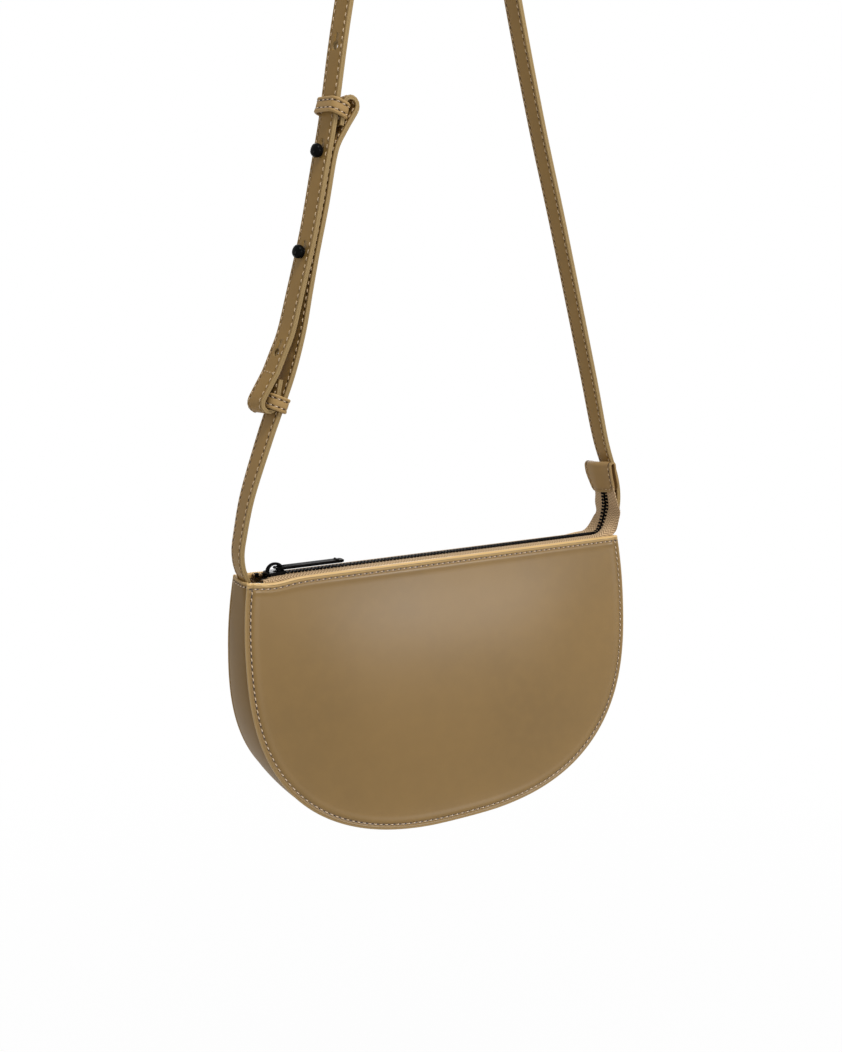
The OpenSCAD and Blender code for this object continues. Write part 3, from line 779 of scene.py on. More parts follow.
left_strand = [
    [-0.826, 0.2270], [-0.789, 0.2480], [-0.752, 0.2700], [-0.703, 0.3140], [-0.637, 0.3760],
    [-0.584, 0.4380], [-0.543, 0.4860], [-0.519, 0.5200], [-0.488, 0.5670], [-0.454, 0.6130],
    [-0.356, 0.7340], [-0.243, 0.8560]]
right_strand = [
    [0.171, 0.8930], [0.274, 0.7630], [0.389, 0.6370], [0.524, 0.5070], [0.663, 0.3860],
    [0.853, 0.2130], [0.946, 0.1250], [1.021, 0.0740], [1.040, 0.0440], [1.022, 0.0210]]
lower_arc = arc(placed([-0.869, 0.1930]), turn_r, -lower_lean, -210)
tail_up, tail_down = leaning(lower_lean), leaning(upper_lean)
long_route = np.vstack([
    lower_arc[0] + 14 * tail_up, lower_arc[0] + 7 * tail_up, lower_arc,
    curve(placed(left_strand)),
    arc((0, STRAP_DROP - support_r), support_r + ply, 165, 10),
    curve(np.vstack([placed(right_strand), [foot_x, 0]])), [foot_x, -foot_deep]])
low_strand = [
    [-0.995, 0.0460], [-0.953, 0.0920], [-0.869, 0.1520], [-0.826, 0.1800],
    [-0.757, 0.2243], [-0.703, 0.2700], [-0.666, 0.3140]]
foot_line = [(-121.2, -3), (-121.8, 0), (-122.9, 2.5), (-123.9, 5.5), (-124.5, 9.5), (-124.6, 15)]
high_strand = [[-0.4944, 0.4812], [-0.4394, 0.5026]]
behind_studs = [(-78.64, 170.23), (-72.33, 196.42), (-66.70, 222.53)]
upper_turn, upper_turn_r = np.array([-57.45, 246.60]), 3.9
short_leg = np.vstack([
    [-foot_x, -foot_deep], [-foot_x, -foot_deep / 2],
    curve(np.vstack([foot_line, placed(low_strand), behind_studs, placed(high_strand)]))])
start_angle = math.degrees(math.atan2(*(short_leg[-1] - upper_turn)[::-1]))
upper_arc = arc(upper_turn, upper_turn_r, start_angle, 180 - upper_lean)
short_route = np.vstack([
    short_leg, upper_arc[1:], upper_arc[-1] - 6 * tail_down, upper_arc[-1] - 12 * tail_down])


def even(route, step=1.2, passes=3):
    """The route in even steps, with its joints eased."""
    points = along(route, np.linspace(0, lengths(route)[-1], int(lengths(route)[-1] / step)))
    for _ in range(passes):
        points[1:-1] = points[1:-1] * 0.5 + (points[:-2] + points[2:]) * 0.25
    return points


long_route, short_route = even(long_route), even(short_route)
print("strap lengths", round(lengths(long_route)[-1]), round(lengths(short_route)[-1]), "mm")


def twist(points):
    """The strap's turn about its own length in radians, for points in x and z."""
    x, z = points[..., 0], points[..., 1]
    left = math.radians(13) * smoothstep(z, -5, 110) * (1 - smoothstep(z, 330, 450))
    right = math.radians(9) * (1 - smoothstep(z, 5, 90)) * smoothstep(z, -12, 8)
    return np.where(x < 0, left, -right)


def strap_frames(route, distances):
    """For distances along a route: the place, and the ways ahead, across and out of the face."""
    flat = along(route, distances)
    ahead = unit(along(route, distances + 0.8) - along(route, distances - 0.8))
    turn = twist(flat) * ahead[:, 1]
    zero = np.zeros(len(flat))
    place = np.stack([flat[:, 0], zero, flat[:, 1]], -1)
    way = np.stack([ahead[:, 0], zero, ahead[:, 1]], -1)
    square = np.stack([-ahead[:, 1], zero, ahead[:, 0]], -1)
    c, s = np.cos(turn)[:, None], np.sin(turn)[:, None]
    across = c * np.array([0, 1, 0]) + s * square
    return place, way, across, c * square - s * np.array([0, 1, 0])


# %% [markdown]
# ## Strap leathers
# Each ply is swept along the route with rounded cut edges, a slight crown and two stitch grooves.
# The holes are cut afterwards with round cutters and a thin wedge for the slit above each hole.
# The strap passes the hinge on which the bag swings; its plies and their stitches are left on no
# body.

# %% Sweep the plies
half_strap, edge_r = strap_w / 2, 0.55


def on_strap(piece, *nodes):
    """Bakes a strap piece's place into its mesh and hides the CAD nodes it stands for."""
    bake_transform(piece)
    if nodes:
        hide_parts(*nodes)


def ply_profile(side):
    """A closed outline across the strap: the distance across and the height over the middle."""
    corner = [(half_strap - edge_r + edge_r * math.sin(a), ply - edge_r + edge_r * math.cos(a))
              for a in np.radians([90, 67, 45, 22, 0])]
    inner = half_strap - strap_stitch_in
    face = [inner + 0.75, inner + 0.4, inner, inner - 0.4, inner - 0.8, 2.6, 0]
    top = [(w, ply + 0.10 * (1 - (w / half_strap) ** 2)
            - 0.26 * math.exp(-((w - inner) / 0.45) ** 2)) for w in face]
    half = [(half_strap - 0.12, 0.04)] + corner + top
    whole = half + [(-w, h) for w, h in half[-2::-1]]
    return np.array(whole) * (1, side)


def swept_ply(name, route, side):
    distances = np.arange(0, lengths(route)[-1] + 0.01, 1.3)
    place, way, across, out = strap_frames(route, distances)
    profile = ply_profile(side)
    w, h = profile[:, 0], profile[:, 1]
    grid = place[:, None] + across[:, None] * w[None, :, None] + out[:, None] * h[None, :, None]
    away = np.where(np.abs(h) > ply * 0.75, half_strap - np.abs(w), 0)
    chart = chart_of(distances, away)
    return sheet(name, grid, strap_leather, {"seam": chart}, ring=True, caps=True, flip=side > 0)


# %% Hole cutters
hole_places = [
    (-97.886, 120.169), (-81.918, 171.137), (-70.015, 223.287), (-60.352, 275.898),
    (-49.990, 328.383)]
stud_places = hole_places[1:3]
hole_r, cutter_reach = 2.25, 9
slit_wedge = [(1.9, 0.05), (1.9, -0.05), (6.2, -0.45), (6.8, 0), (6.2, 0.45)]


def hole_frame(place):
    """The outer strap's middle and its three directions at the hole nearest to a place."""
    nearest = np.argmin(np.linalg.norm(long_route - np.array(place), axis=1))
    return [v[0] for v in strap_frames(long_route, lengths(long_route)[[nearest]])]


def hole_cutters(place, *more_shapes):
    """A round cutter through the strap, and one for each further shape."""
    spot, way, across, out = hole_frame(place)
    angles = np.linspace(0, 2 * math.pi, 40, endpoint=False)
    round_hole = [(hole_r * math.cos(a), hole_r * math.sin(a)) for a in angles]
    cutters = []
    for shape in (round_hole, *more_shapes):
        rows = [[spot + way * u + across * v + out * h for u, v in shape]
                for h in (-cutter_reach, cutter_reach)]
        cutters.append(sheet("cutter", np.array(rows), strap_leather, ring=True, caps=True))
    return cutters


def punch(piece, cutters):
    """Cuts the holes with boolean modifiers and keeps the result as the piece's mesh."""
    for cutter in cutters:
        bore = piece.modifiers.new("bore", "BOOLEAN")
        bore.operation, bore.solver, bore.object = "DIFFERENCE", "EXACT", cutter
    depsgraph = bpy.context.evaluated_depsgraph_get()
    cut_mesh = bpy.data.meshes.new_from_object(piece.evaluated_get(depsgraph))
    piece.modifiers.clear()
    piece.data = cut_mesh


# %% Cut and hang the plies
plies = {
    "long_strap_outside": (long_route, 1, ["long_strap_face", "right_strap_anchor"]),
    "long_strap_inside": (long_route, -1, ["long_strap_lining"]),
    "short_strap_outside": (short_route, 1, ["short_strap_face", "left_strap_anchor"]),
    "short_strap_inside": (short_route, -1, ["short_strap_lining"]),
}
cutters = [c for place in hole_places for c in hole_cutters(place, slit_wedge)]
stud_cutters = [c for place in stud_places for c in hole_cutters(place)]
for name, (route, side, nodes) in plies.items():
    piece = swept_ply(name, route, side)
    punch(piece, cutters if route is long_route else stud_cutters)
    on_strap(piece, *nodes)
    print(name, len(piece.data.polygons), "faces")
for cutter in cutters + stud_cutters:
    bpy.data.objects.remove(cutter)


# %% Strap stitching
sunk_face = ply - 0.14
cross_at, cross_half = 43.0, 5.4


def strap_stitches(label, route, start, end):
    """Two rows on each face, from a distance after the route's start to one before its end."""
    distances = np.arange(start, lengths(route)[-1] - end, 0.8)
    place, way, across, out = strap_frames(route, distances)
    for face, sign in (("outside", 1), ("inside", -1)):
        for edge, hand in (("front", -1), ("rear", 1)):
            line = place + across * hand * (half_strap - strap_stitch_in) + out * sign * sunk_face
            on_strap(stitch_row(
                f"{label}_{face}_{edge}_stitches", line, out * sign, pitch=STRAP_PITCH, length=2.6,
                finish=strap_thread))
    print(label, "stitched over", round(distances[-1] - start), "mm")


strap_stitches("long_strap", long_route, 1.5, 20.0)
place, way, across, out = strap_frames(long_route, np.array([cross_at]))
line = place + out * sunk_face + across * np.linspace(-cross_half, cross_half, 20)[:, None]
stitch_row("long_strap_cross_stitches", line, np.repeat(out, len(line), 0), "strap",
           "strap_leather", pitch=2.7, finish=strap_thread)
strap_stitches("short_strap", short_route, 20.0, 1.5)

# %% [markdown]
# ## The zip's chain
# The chain lies flat in the mouth and then climbs out of it as a free tail. One line in the side
# view carries the tapes, both rows of teeth and the tab. Left of the slider the two rows part, as
# a real zip does where its last teeth are not yet locked.

# %% Chain line
chain_z, chain_left = -0.3, -114
tooth_pitch = 2.2
tail_line = [
    (112, -0.3), (115.5, -0.2), (118.6, 1.6), (121.0, 7.0), (121.9, 10.5), (123.0, 16.5),
    (122.8, 20), (121.9, 26), (120, 33), (118.4, 39), (117.4, 44.6)]
chain_route = even(np.vstack([[(chain_left, chain_z)], curve(tail_line)]), step=0.5, passes=6)
chain_total = lengths(chain_route)[-1]
tab_start = lengths(chain_route)[np.argmax(chain_route[:, 1] > 27.2)]


def chain_frames(distances):
    """The chain's place, its way ahead and its way out, for distances along it."""
    flat = along(chain_route, distances)
    ahead = unit(along(chain_route, distances + 0.5) - along(chain_route, distances - 0.5))
    zero = np.zeros(len(flat))
    place = np.stack([flat[:, 0], zero, flat[:, 1]], -1)
    return (place, np.stack([ahead[:, 0], zero, ahead[:, 1]], -1),
            np.stack([-ahead[:, 1], zero, ahead[:, 0]], -1))


def parting(x, side):
    """How far a row has moved off the middle and down, left of the slider."""
    open_share = smoothstep(-x, 105, 114)
    return (3.6 if side < 0 else 4.4) * open_share, (-1.6 if side < 0 else -0.3) * open_share


def on_tail(piece, slot, *nodes):
    """Bakes a zip piece's place into its mesh and hides the CAD nodes it stands for."""
    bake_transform(piece)
    if nodes:
        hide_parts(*nodes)


print("chain", round(chain_total), "mm")


# %% [markdown]
# ## The zip's tapes
# Each tape is a woven strip, sewn under the hem along the mouth. On the tail nothing holds it, so
# it folds and ripples. Its cross section is a curve with three control points, which are given at
# a few places along the chain and blended between them. That gives a fold its own shape
# without a cloth simulation.

# %% Zip tapes
mouth_section, mouth_until = [(-6.5, 0.1), (-9.3, 0.6), (-8.9, -5.5)], 100.0
line_step, fine_from = 0.25, 205
front_sections = [
    (111.0, [(111, -6.3, 0.2), (111.2, -9.2, 0.8), (111.8, -8.9, -4.6)]),
    (115.5, [(116, -4.6, 2.4), (116.8, -8.6, 1.6), (117.5, -8.9, -2.5)]),
    (118.6, [(118.0, -4.8, 7.0), (120.4, -8.4, 3.4), (122.5, -9.3, 0.3)]),
    (121.0, [(119.6, -5.4, 11.0), (123.2, -9.2, 7.0), (124.4, -10.3, 3)]),
    (121.9, [(120.8, -5.4, 13.0), (123.6, -9.4, 10.8), (124.6, -11.4, 9)]),
    (123.0, [(123, -5, 16.5), (123.6, -9.5, 16.2), (124.4, -13, 15)])]
back_sections = [
    (95.0, [(95, 6.5, 0.1), (95, 9.3, 0.3), (95, 8.9, -3.6)]),
    (106.0, [(106, 4.5, 0.2), (106, 7.5, 0.4), (106, 9.2, -0.7)]),
    (115.5, [(115.6, 4.5, 0.6), (115.4, 7.4, 1.0), (115, 9.5, 0.5)]),
    (118.6, [(119, 4.5, 3), (119.8, 8, 5), (120.7, 11, 7.2)]),
    (121.9, [(122.4, 4.5, 10.4), (123.8, 8.5, 10.6), (125.1, 12, 10.7)]),
    (123.0, [(123.2, 4.5, 16.4), (124.2, 9, 16.5), (125.1, 13, 16.6)])]
upper_edges = {
    -1: [(20, (123, -13.5, 18.6)), (26, (119.9, -13.8, 24.6)), (33, (117.9, -13.0, 33))],
    1: [(26, (124.4, 13.2, 25.7)), (33, (121, 11, 33))]}


def tape_controls(side, distances):
    """Three control points of the tape's cross section for each distance along the chain."""
    line = along(chain_route, np.arange(0, chain_total, line_step))
    keys, points = [0.0], [[(chain_left, -side * y, z) for y, z in mouth_section]]
    sections = front_sections if side < 0 else back_sections
    if side < 0:
        keys.append(mouth_until - chain_left)
        points.append([(mouth_until, y, z) for y, z in mouth_section])
    for x, section in sections:
        keys.append(line_step * np.argmax(line[:, 0] >= x - 0.01))
        points.append(section)
    for z, edge in upper_edges[side] + [(44, (117.5, side * 10.5, 44))]:
        nearest = np.argmax(line[:, 1] >= z)
        keys.append(line_step * nearest)
        inner = np.array([line[nearest, 0], side * 1.0, line[nearest, 1]])
        points.append([inner + (np.array(edge) - inner) * share for share in (0.33, 0.66, 1)])
    keys, points = np.array(keys), np.array(points, float)
    fine = np.arange(0, chain_total + 0.5, 0.5)
    track = np.stack([[np.interp(fine, keys, points[:, k, axis]) for axis in range(3)]
                      for k in range(3)]).transpose(2, 0, 1)
    for _ in range(40):
        track[1:-1] = track[1:-1] * 0.5 + (track[:-2] + track[2:]) * 0.25
    return np.stack([[np.interp(distances, fine, track[:, k, axis]) for axis in range(3)]
                     for k in range(3)]).transpose(2, 0, 1)


def tape(side, name, *nodes):
    """A tape with two faces and a cord along the teeth, from the mouth's end to the tail's."""
    distances = np.concatenate([
        np.arange(0, fine_from, 2.0), np.arange(fine_from, chain_total + 0.3, 0.7)])
    place, way, out = chain_frames(distances)
    off_y, off_n = parting(place[:, 0], side)
    first = place + np.stack([0 * off_y, side * (1.0 + off_y), off_n], -1)
    controls = tape_controls(side, distances)
    controls[:, 0, 1] += side * off_y * 0.5
    t = np.linspace(0, 1, 34)[None, :, None]
    one, two, three = (controls[:, None, k] for k in range(3))
    point = (first[:, None] * (1 - t) ** 3 + one * 3 * t * (1 - t) ** 2
             + two * 3 * t ** 2 * (1 - t) + three * t ** 3)
    width = np.concatenate([np.zeros((len(point), 1)),
                            np.cumsum(np.linalg.norm(np.diff(point, axis=1), axis=2), 1)], 1)
    free = smoothstep(distances, 219, 231) * (1 - smoothstep(distances, 252, 264))
    normal = unit(np.cross(np.gradient(point, axis=0), np.gradient(point, axis=1))) * side
    ripple = 0.3 * np.sin(distances * 0.5 + (0 if side < 0 else 2))[:, None] * (width / 13) ** 2
    point = point + normal * (ripple * free[:, None])[..., None]
    thick = 0.25 + 0.42 * np.exp(-((width - 0.5) / 0.6) ** 2)
    top, under = point + normal * thick[..., None], point - normal * thick[..., None]
    grid = np.concatenate([top, under[:, ::-1]], 1)
    chart = chart_of(distances, np.concatenate([width, width[:, ::-1]], 1) + 30)
    piece = sheet(name, grid, zip_tape, {"seam": chart}, ring=True, caps=True, flip=side > 0)
    on_tail(piece, "zip_tape", *nodes)
    print(name, "widest", round(width[:, -1].max(), 1), "mm")


tape(-1, "front_zip_tape", "zip_tape_front", "tail_tape_front")
tape(1, "back_zip_tape", "zip_tape_back", "tail_tape_back")

# %% [markdown]
# ## The zip's teeth
# A metal tooth is a small block that is crimped on the tape's edge, and the two rows are set half a
# pitch apart so that they lock. Every tooth of a row is the same plan at four heights, and the
# whole row is one mesh. The stops at both ends are made in the same way.

# %% Zip teeth
tooth_plan = [
    (3.1, -0.66), (3.1, 0.66), (1.5, 0.68), (0.7, 0.40), (-0.1, 0.56), (-0.55, 0.34),
    (-0.55, -0.34), (-0.1, -0.56), (0.7, -0.40), (1.5, -0.68)]
stop_plan = [
    (2.9, -1.1), (2.9, 1.1), (2.0, 1.2), (0.9, 1.2), (0.4, 0.8), (0.4, -0.8), (0.9, -1.2),
    (2.0, -1.2)]
end_plan = [(1.6, -1.1), (1.6, 1.1), (-1.6, 1.1), (-1.6, -1.1)]
tooth_levels = [(-1.1, 0.84), (-0.9, 1.0), (0.9, 1.0), (1.1, 0.84)]
first_tooth, first_stop = 3.6, 1.6


def crimped(name, side, distances, plan):
    """Small metal pieces with one plan, crimped on the edge of a tape."""
    place, way, out = chain_frames(distances)
    off_y, off_n = parting(place[:, 0], side)
    plan = np.array(plan)
    middle = plan.mean(0)
    rows = []
    for n, share in tooth_levels:
        ring = middle + (plan - middle) * share
        y = ring[None, :, 0] + off_y[:, None]
        rows.append(place[:, None] + way[:, None] * ring[None, :, 1:2]
                    + out[:, None] * (n + off_n)[:, None, None]
                    + np.array([0, side, 0]) * y[..., None])
    one = grid_faces(len(tooth_levels), len(plan), ring=True, caps=True, flip=side > 0)
    size = len(tooth_levels) * len(plan)
    starts = range(0, len(distances) * size, size)
    faces = [[index + start for index in face] for start in starts for face in one]
    return mesh_piece(name, np.stack(rows, 1).reshape(-1, 3), faces, satin_enamel, sharp=40)


for side, label, shift in ((-1, "front", 0.0), (1, "back", tooth_pitch / 2)):
    spots = np.arange(first_tooth + shift, tab_start + 3, tooth_pitch)
    on_tail(crimped(f"{label}_zip_teeth", side, spots, tooth_plan), "zip_metal",
            f"zip_teeth_{label}", f"tail_teeth_{label}")
    stop = crimped(f"{label}_zip_stop", side, np.array([first_stop]), stop_plan)
    on_body(stop, "bag", "zip_metal", *(["zip_top_stops"] if side < 0 else []))
    print(label, "row:", len(spots), "teeth")
end_stop = crimped("zip_end_stop", 1, np.array([tab_start + 6]), end_plan)
on_body(end_stop, "zip_tail", "zip_metal", "tail_bottom_stop")


# %% [markdown]
# ## The leather tab on the zip's tail
# One leather is folded over the end of the zip and sewn down both sides and along the bottom. It is
# bent a little round the stiff chain, so a soft highlight runs down its left third.

# %% Tail tab
tab_half, tab_corner, tab_gap, tab_turn_in = 13, 4.5, 1.15, 0.4
tab_long = chain_total - tab_start
tab_spread = np.array([
    -1, -0.985, -0.93, -0.86, -0.8, -0.6, -0.3, 0, 0.3, 0.6, 0.8, 0.86, 0.93, 0.985, 1])
off_seam = 20


def tab_shape(distances, y, out):
    """A point of the tab: distance along the chain, across, and out of the chain's middle."""
    place, way, normal = chain_frames(distances)
    cup = 1.7 * np.exp(-((y - 2) / 5.5) ** 2)
    flare = 0.5 * (y / tab_half) * smoothstep(y, 2, 12)
    reach = 12.3 - 3.4 * smoothstep(tab_long - (distances[:, None] - tab_start), 2, 17)
    y = np.where(y > 0, y * reach / tab_half, y)
    return (place[:, None] + normal[:, None] * (out + cup + flare)[..., None]
            + np.stack([0 * y, y, -0.07 * y], -1))


def tab_leather_piece():
    """Up the front, over the end of the zip and down the back, with both faces of the leather."""
    flat = np.arange(0.0, tab_long - tab_turn_in, 1.0)
    middle = tab_gap + leather_t / 2
    rows = [(tab_start + d, middle, 0.0, d) for d in flat]
    rows += [(chain_total - tab_turn_in, middle * math.cos(a), middle * math.sin(a), tab_long)
             for a in np.radians(np.linspace(0, 180, 13))]
    rows += [(tab_start + d, -middle, 0.0, d) for d in flat[::-1]]
    grid, chart = [], []
    for s, n, beyond, from_bottom in rows:
        spot = np.array([s])
        corner = max(tab_corner - from_bottom, 0)
        reach = tab_half - (tab_corner - math.sqrt(max(tab_corner ** 2 - corner ** 2, 0)))
        y = tab_spread * reach
        tilt = math.atan2(beyond, n)
        away = np.minimum(reach - np.abs(y), from_bottom)
        relief = (-0.22 * np.exp(-((away - tab_stitch_in) / 0.45) ** 2)
                  - 0.28 * (np.abs(tab_spread) > 0.99))
        for half, order in ((leather_t / 2, 1), (-leather_t / 2, -1)):
            r = math.hypot(n, beyond) + half + (relief if half > 0 else -relief * 0.3)
            ring = tab_shape(spot, y[None], (r * math.cos(tilt))[None])[0]
            ring = ring + chain_frames(spot)[1] * (r * math.sin(tilt))[:, None]
            grid.append(ring[::order])
            run = 0 * y + from_bottom + 100 * (n < 0)
            chart.append(np.stack([run, away + (0 if half > 0 else off_seam)], -1)[::order])
    grid = np.stack(grid).reshape(len(rows), -1, 3)
    charts = {"seam": np.stack(chart).reshape(len(rows), -1, 2)}
    return sheet("tail_tab_leather", grid, tab_leather, charts, ring=True, caps=True, flip=True)


on_body(tab_leather_piece(), "zip_tail", "strap_leather", "tail_tab")

# %% Tab stitching
side_run = np.arange(tab_corner, tab_long - 1.5, 0.5)
turn_in = tab_corner - tab_stitch_in
bottom = [(tab_corner - turn_in * math.sin(a), tab_half - tab_corner + turn_in * math.cos(a))
          for a in np.radians(np.linspace(0, 90, 10))]
u_line = [(d, tab_half - tab_stitch_in) for d in side_run[::-1]] + bottom
u_line = np.array(u_line + [(d, -y) for d, y in u_line[::-1]])
for label, sign in (("front", 1), ("back", -1)):
    height = np.full((len(u_line), 1), sign * (tab_gap + leather_t - 0.1))
    line = tab_shape(tab_start + u_line[:, 0], u_line[:, 1:], height)[:, 0]
    out = chain_frames(tab_start + u_line[:, 0])[2] * sign
    stitch_row(f"tail_tab_{label}_stitches", line, out, "zip_tail", "strap_leather",
               finish=strap_thread)
print("tab", round(tab_long, 1), "mm long, sewn over", round(lengths(line)[-1]), "mm")

# %% [markdown]
# ## Slider, bail and puller
# The slider is cast: two domed plates with turned-down sides, joined by a post where the rows meet.
# A bow on top of it carries the puller, a flat black bar with a small bead near its tip.

# %% Slider
slider_x, plate_under, flange_t = -104, 1.25, 0.7
plate_stations = [
    (-5.5, 3.4, 0.35), (-5.2, 4.1, 0.1), (-4.2, 4.5, 0), (-2.0, 4.5, 0), (1.5, 4.2, 0),
    (4.2, 3.9, 0), (5.2, 3.6, 0.1), (5.5, 3.1, 0.35)]


def lofted(name, rows, finish, sharp=35, flip=False):
    """A closed solid through rings of points."""
    return sheet(name, np.array(rows, float), finish, ring=True, caps=True, sharp=sharp, flip=flip)


def slider_plate(sign):
    """A domed plate, over the chain or under it, with both long sides turned down to the tapes."""
    rows = []
    for u, half, sink in plate_stations:
        low = plate_under - (0.75 if -3.8 < u < 5 else 0.1)
        inner = half - flange_t
        section = [
            (-half, low), (-half, 1.85 - sink), (-half + 0.4, 2.25 - sink),
            (-half * 0.5, 2.42 - sink), (0, 2.48 - sink), (half * 0.5, 2.42 - sink),
            (half - 0.4, 2.25 - sink), (half, 1.85 - sink), (half, low), (inner, low),
            (inner, plate_under), (0, plate_under), (-inner, plate_under), (-inner, low)]
        rows.append([(slider_x + u, y, chain_z + sign * n) for y, n in section])
    name = f"slider_plate_{'top' if sign > 0 else 'under'}"
    return lofted(name, rows, black_enamel, flip=sign < 0)


top_plate, under_plate = slider_plate(1), slider_plate(-1)
on_body(top_plate, "slider", "zip_metal", "zip_slider")
on_body(under_plate, "slider", "zip_metal")
post_plan = [(0, 0), (0.6, -0.45), (2.4, -0.45), (3, 0), (2.4, 0.45), (0.6, 0.45)]
post = [[(slider_x - 4.9 + u, y, chain_z + n) for u, y in post_plan] for n in (-1.4, 1.4)]
on_body(lofted("slider_post", post, black_enamel), "slider", "zip_metal")


def bow(name, half_length, height, thick, half_w, base_z):
    """An arch over the slider with a flattened section."""
    rows = []
    for a in np.radians(np.linspace(-8, 188, 29)):
        place = np.array([-half_length * math.cos(a), height * math.sin(a)])
        normal = unit(np.array([-math.cos(a) / half_length, math.sin(a) / height]))
        grow = 1 + 0.35 * abs(math.cos(a)) ** 2
        ring = []
        for b in np.linspace(0, 2 * math.pi, 12, endpoint=False):
            spot = place + normal * (soft(math.cos(b), 0.7) * thick / 2 * grow)
            ring.append((slider_x + spot[0], soft(math.sin(b), 0.7) * half_w, base_z + spot[1]))
        rows.append(ring)
    return lofted(name, rows, black_enamel, sharp=50)


on_body(bow("slider_bow", 4.3, 4.1, 1.6, 0.9, chain_z + 2.2), "slider", "zip_metal", "zip_bail")
print("slider", plate_stations[-1][0] - plate_stations[0][0], "mm long")

# %% Puller
pin_x, pin_z, pin_r = -103, 3.4, 0.6
bead_x = pin_x + 36
cheek_y = 2.0
bar_stations = [
    (4.9, 2.6, 1.3), (5.2, 3.0, 1.6), (14, 2.95, 1.6), (30, 2.95, 1.6), (37.8, 3.0, 1.6),
    (39.3, 2.6, 1.5), (40, 1.9, 1.2)]
cheek_stations = [(-1.0, 0.7, 0.9), (-0.5, 0.9, 1.4), (4, 0.95, 1.6), (5.4, 0.95, 1.5)]


def bar_section(half, t, bevel):
    """A flat bar's section with its four edges taken off."""
    h = t / 2
    return [(-half, -h + bevel), (-half, h - bevel), (-half + bevel, h), (half - bevel, h),
            (half, h - bevel), (half, -h + bevel), (half - bevel, -h), (-half + bevel, -h)]


def bar(name, stations, y_offset=0.0):
    """A bar along the puller: its half width and thickness at distances from the pin."""
    rows = [[(pin_x + u, y + y_offset, pin_z + n)
             for y, n in bar_section(half, t, min(0.35, half / 3, t / 3))]
            for u, half, t in stations]
    return lofted(name, rows, satin_enamel, sharp=30)


around = [(math.cos(a), math.sin(a)) for a in np.radians(np.arange(0, 360, 30))]
pin = [[(pin_x + pin_r * c, y, pin_z + pin_r * s) for c, s in around] for y in (-2.4, 2.4)]
bead = [[(bead_x + 1.0 * c, y, pin_z + 0.6 + h * s) for c, s in around]
        for y, h in ((-2.1, 0.5), (-1.8, 0.95), (1.8, 0.95), (2.1, 0.5))]
on_body(bar("puller_bar", bar_stations), "puller", "zip_metal", "zip_puller")
for piece in (bar("puller_cheek_near", cheek_stations, -cheek_y),
              bar("puller_cheek_far", cheek_stations, cheek_y),
              lofted("puller_pin", pin, black_enamel, flip=True),
              lofted("puller_bead", bead, black_enamel, flip=True)):
    on_body(piece, "puller", "zip_metal")
print("puller", bar_stations[-1][0] - cheek_stations[0][0], "mm long")

# %% [markdown]
# ## Keepers
# A keeper is a short stitched loop that holds the strap's free end. Its edges are rolled over,
# which leaves a bead at each side and two rows of stitches between them. It turns with the strap.

# %% Keepers
keeper_across, keeper_h = 14.7, 8.1
side_press = 0.72


def keeper_line(gap, out):
    """The loop's outline at a distance outside its inner face. Its side walls are pressed thin."""
    half_x, half_y, r = gap / 2 + out * side_press, keeper_across / 2 + out, 2.4 + out * 0.86
    points = []
    for corner, (sx, sy) in enumerate(((1, 1), (-1, 1), (-1, -1), (1, -1))):
        for a in np.radians(np.linspace(0, 90, 14) + 90 * corner):
            points.append((sx * (half_x - r) + r * math.cos(a),
                           sy * (half_y - r) + r * math.sin(a)))
    return np.array(points)


def closed(points):
    """Points with the first one again at the end, which closes a loop."""
    return np.concatenate([points, points[:1]])


def keeper(name, body, centre, tilt, gap, pressed):
    """A loop round both straps. Its top edge is pressed lower on the right by a share of it."""
    turn = float(twist(np.array([centre]))[0])
    tilt = math.radians(tilt)
    flat_x = np.array([math.cos(tilt), 0, -math.sin(tilt)])
    up = np.array([math.sin(tilt), 0, math.cos(tilt)])
    deep = np.array([0, 1, 0])
    ax = math.cos(turn) * flat_x + math.sin(turn) * deep
    ay = math.cos(turn) * deep - math.sin(turn) * flat_x
    middle = np.array([centre[0], 0, centre[1]])
    facing = unit(keeper_line(gap, 1) - keeper_line(gap, 0))[:, :1]
    low = 1 - pressed * np.maximum(facing, 0) ** 2
    half = keeper_h / 2

    def loop(out, h):
        line = keeper_line(gap, out)
        return middle + line[:, :1] * ax + line[:, 1:] * ay + up * h * (low if h > 0 else 1)

    section = [
        (half - 0.1, 0.15), (half, 0.6), (half, 1.2), (half - 0.3, 1.75), (half - 0.9, 1.95),
        (half - 1.6, 1.7), (half - keeper_stitch_in, 1.38), (half - 2.4, 1.5), (0.7, 1.62)]
    section += [(-h, n) for h, n in section[::-1]]
    section += [(-half + 0.6, 0), (0, -0.03), (half - 0.6, 0)]
    grid = np.stack([loop(n, h) for h, n in section], 1)
    # The last row of points is the first one again, and the weld makes them one.
    grid = closed(grid)
    run = lengths(closed(keeper_line(gap, 1.5)))
    run[-1] = run[0]
    away = np.array([half - abs(h) + keeper_roll if n > 1 else off_seam for h, n in section])
    charts = {"seam": chart_of(run, away)}
    piece = sheet(name, grid, keeper_leather, charts, ring=True, weld=True)
    on_body(piece, body, "strap_leather", body)
    out = unit(keeper_line(gap, 2.4) - keeper_line(gap, 1.36))
    out = out[:, :1] * ax + out[:, 1:] * ay
    for row, h in (("upper", half - keeper_stitch_in), ("lower", -half + keeper_stitch_in)):
        stitch_row(f"{name}_{row}_stitches", loop(1.36, h), out, body, "strap_leather", r=0.28)
    print(name, round(lengths(closed(keeper_line(gap, 1)))[-1]), "mm round")


keeper("upper_keeper_loop", "upper_keeper", (-64.063, 245.100), 18, 9.6, 0.24)
keeper("lower_keeper_loop", "lower_keeper", (-101.996, 94.005), 22, 9.4, 0)

# %% [markdown]
# ## Studs
# Each stud is turned from round bar: a domed head, a narrow neck in the holes of both straps, and a
# screw from behind. A turned part is drawn as half its outline and spun round its axis.

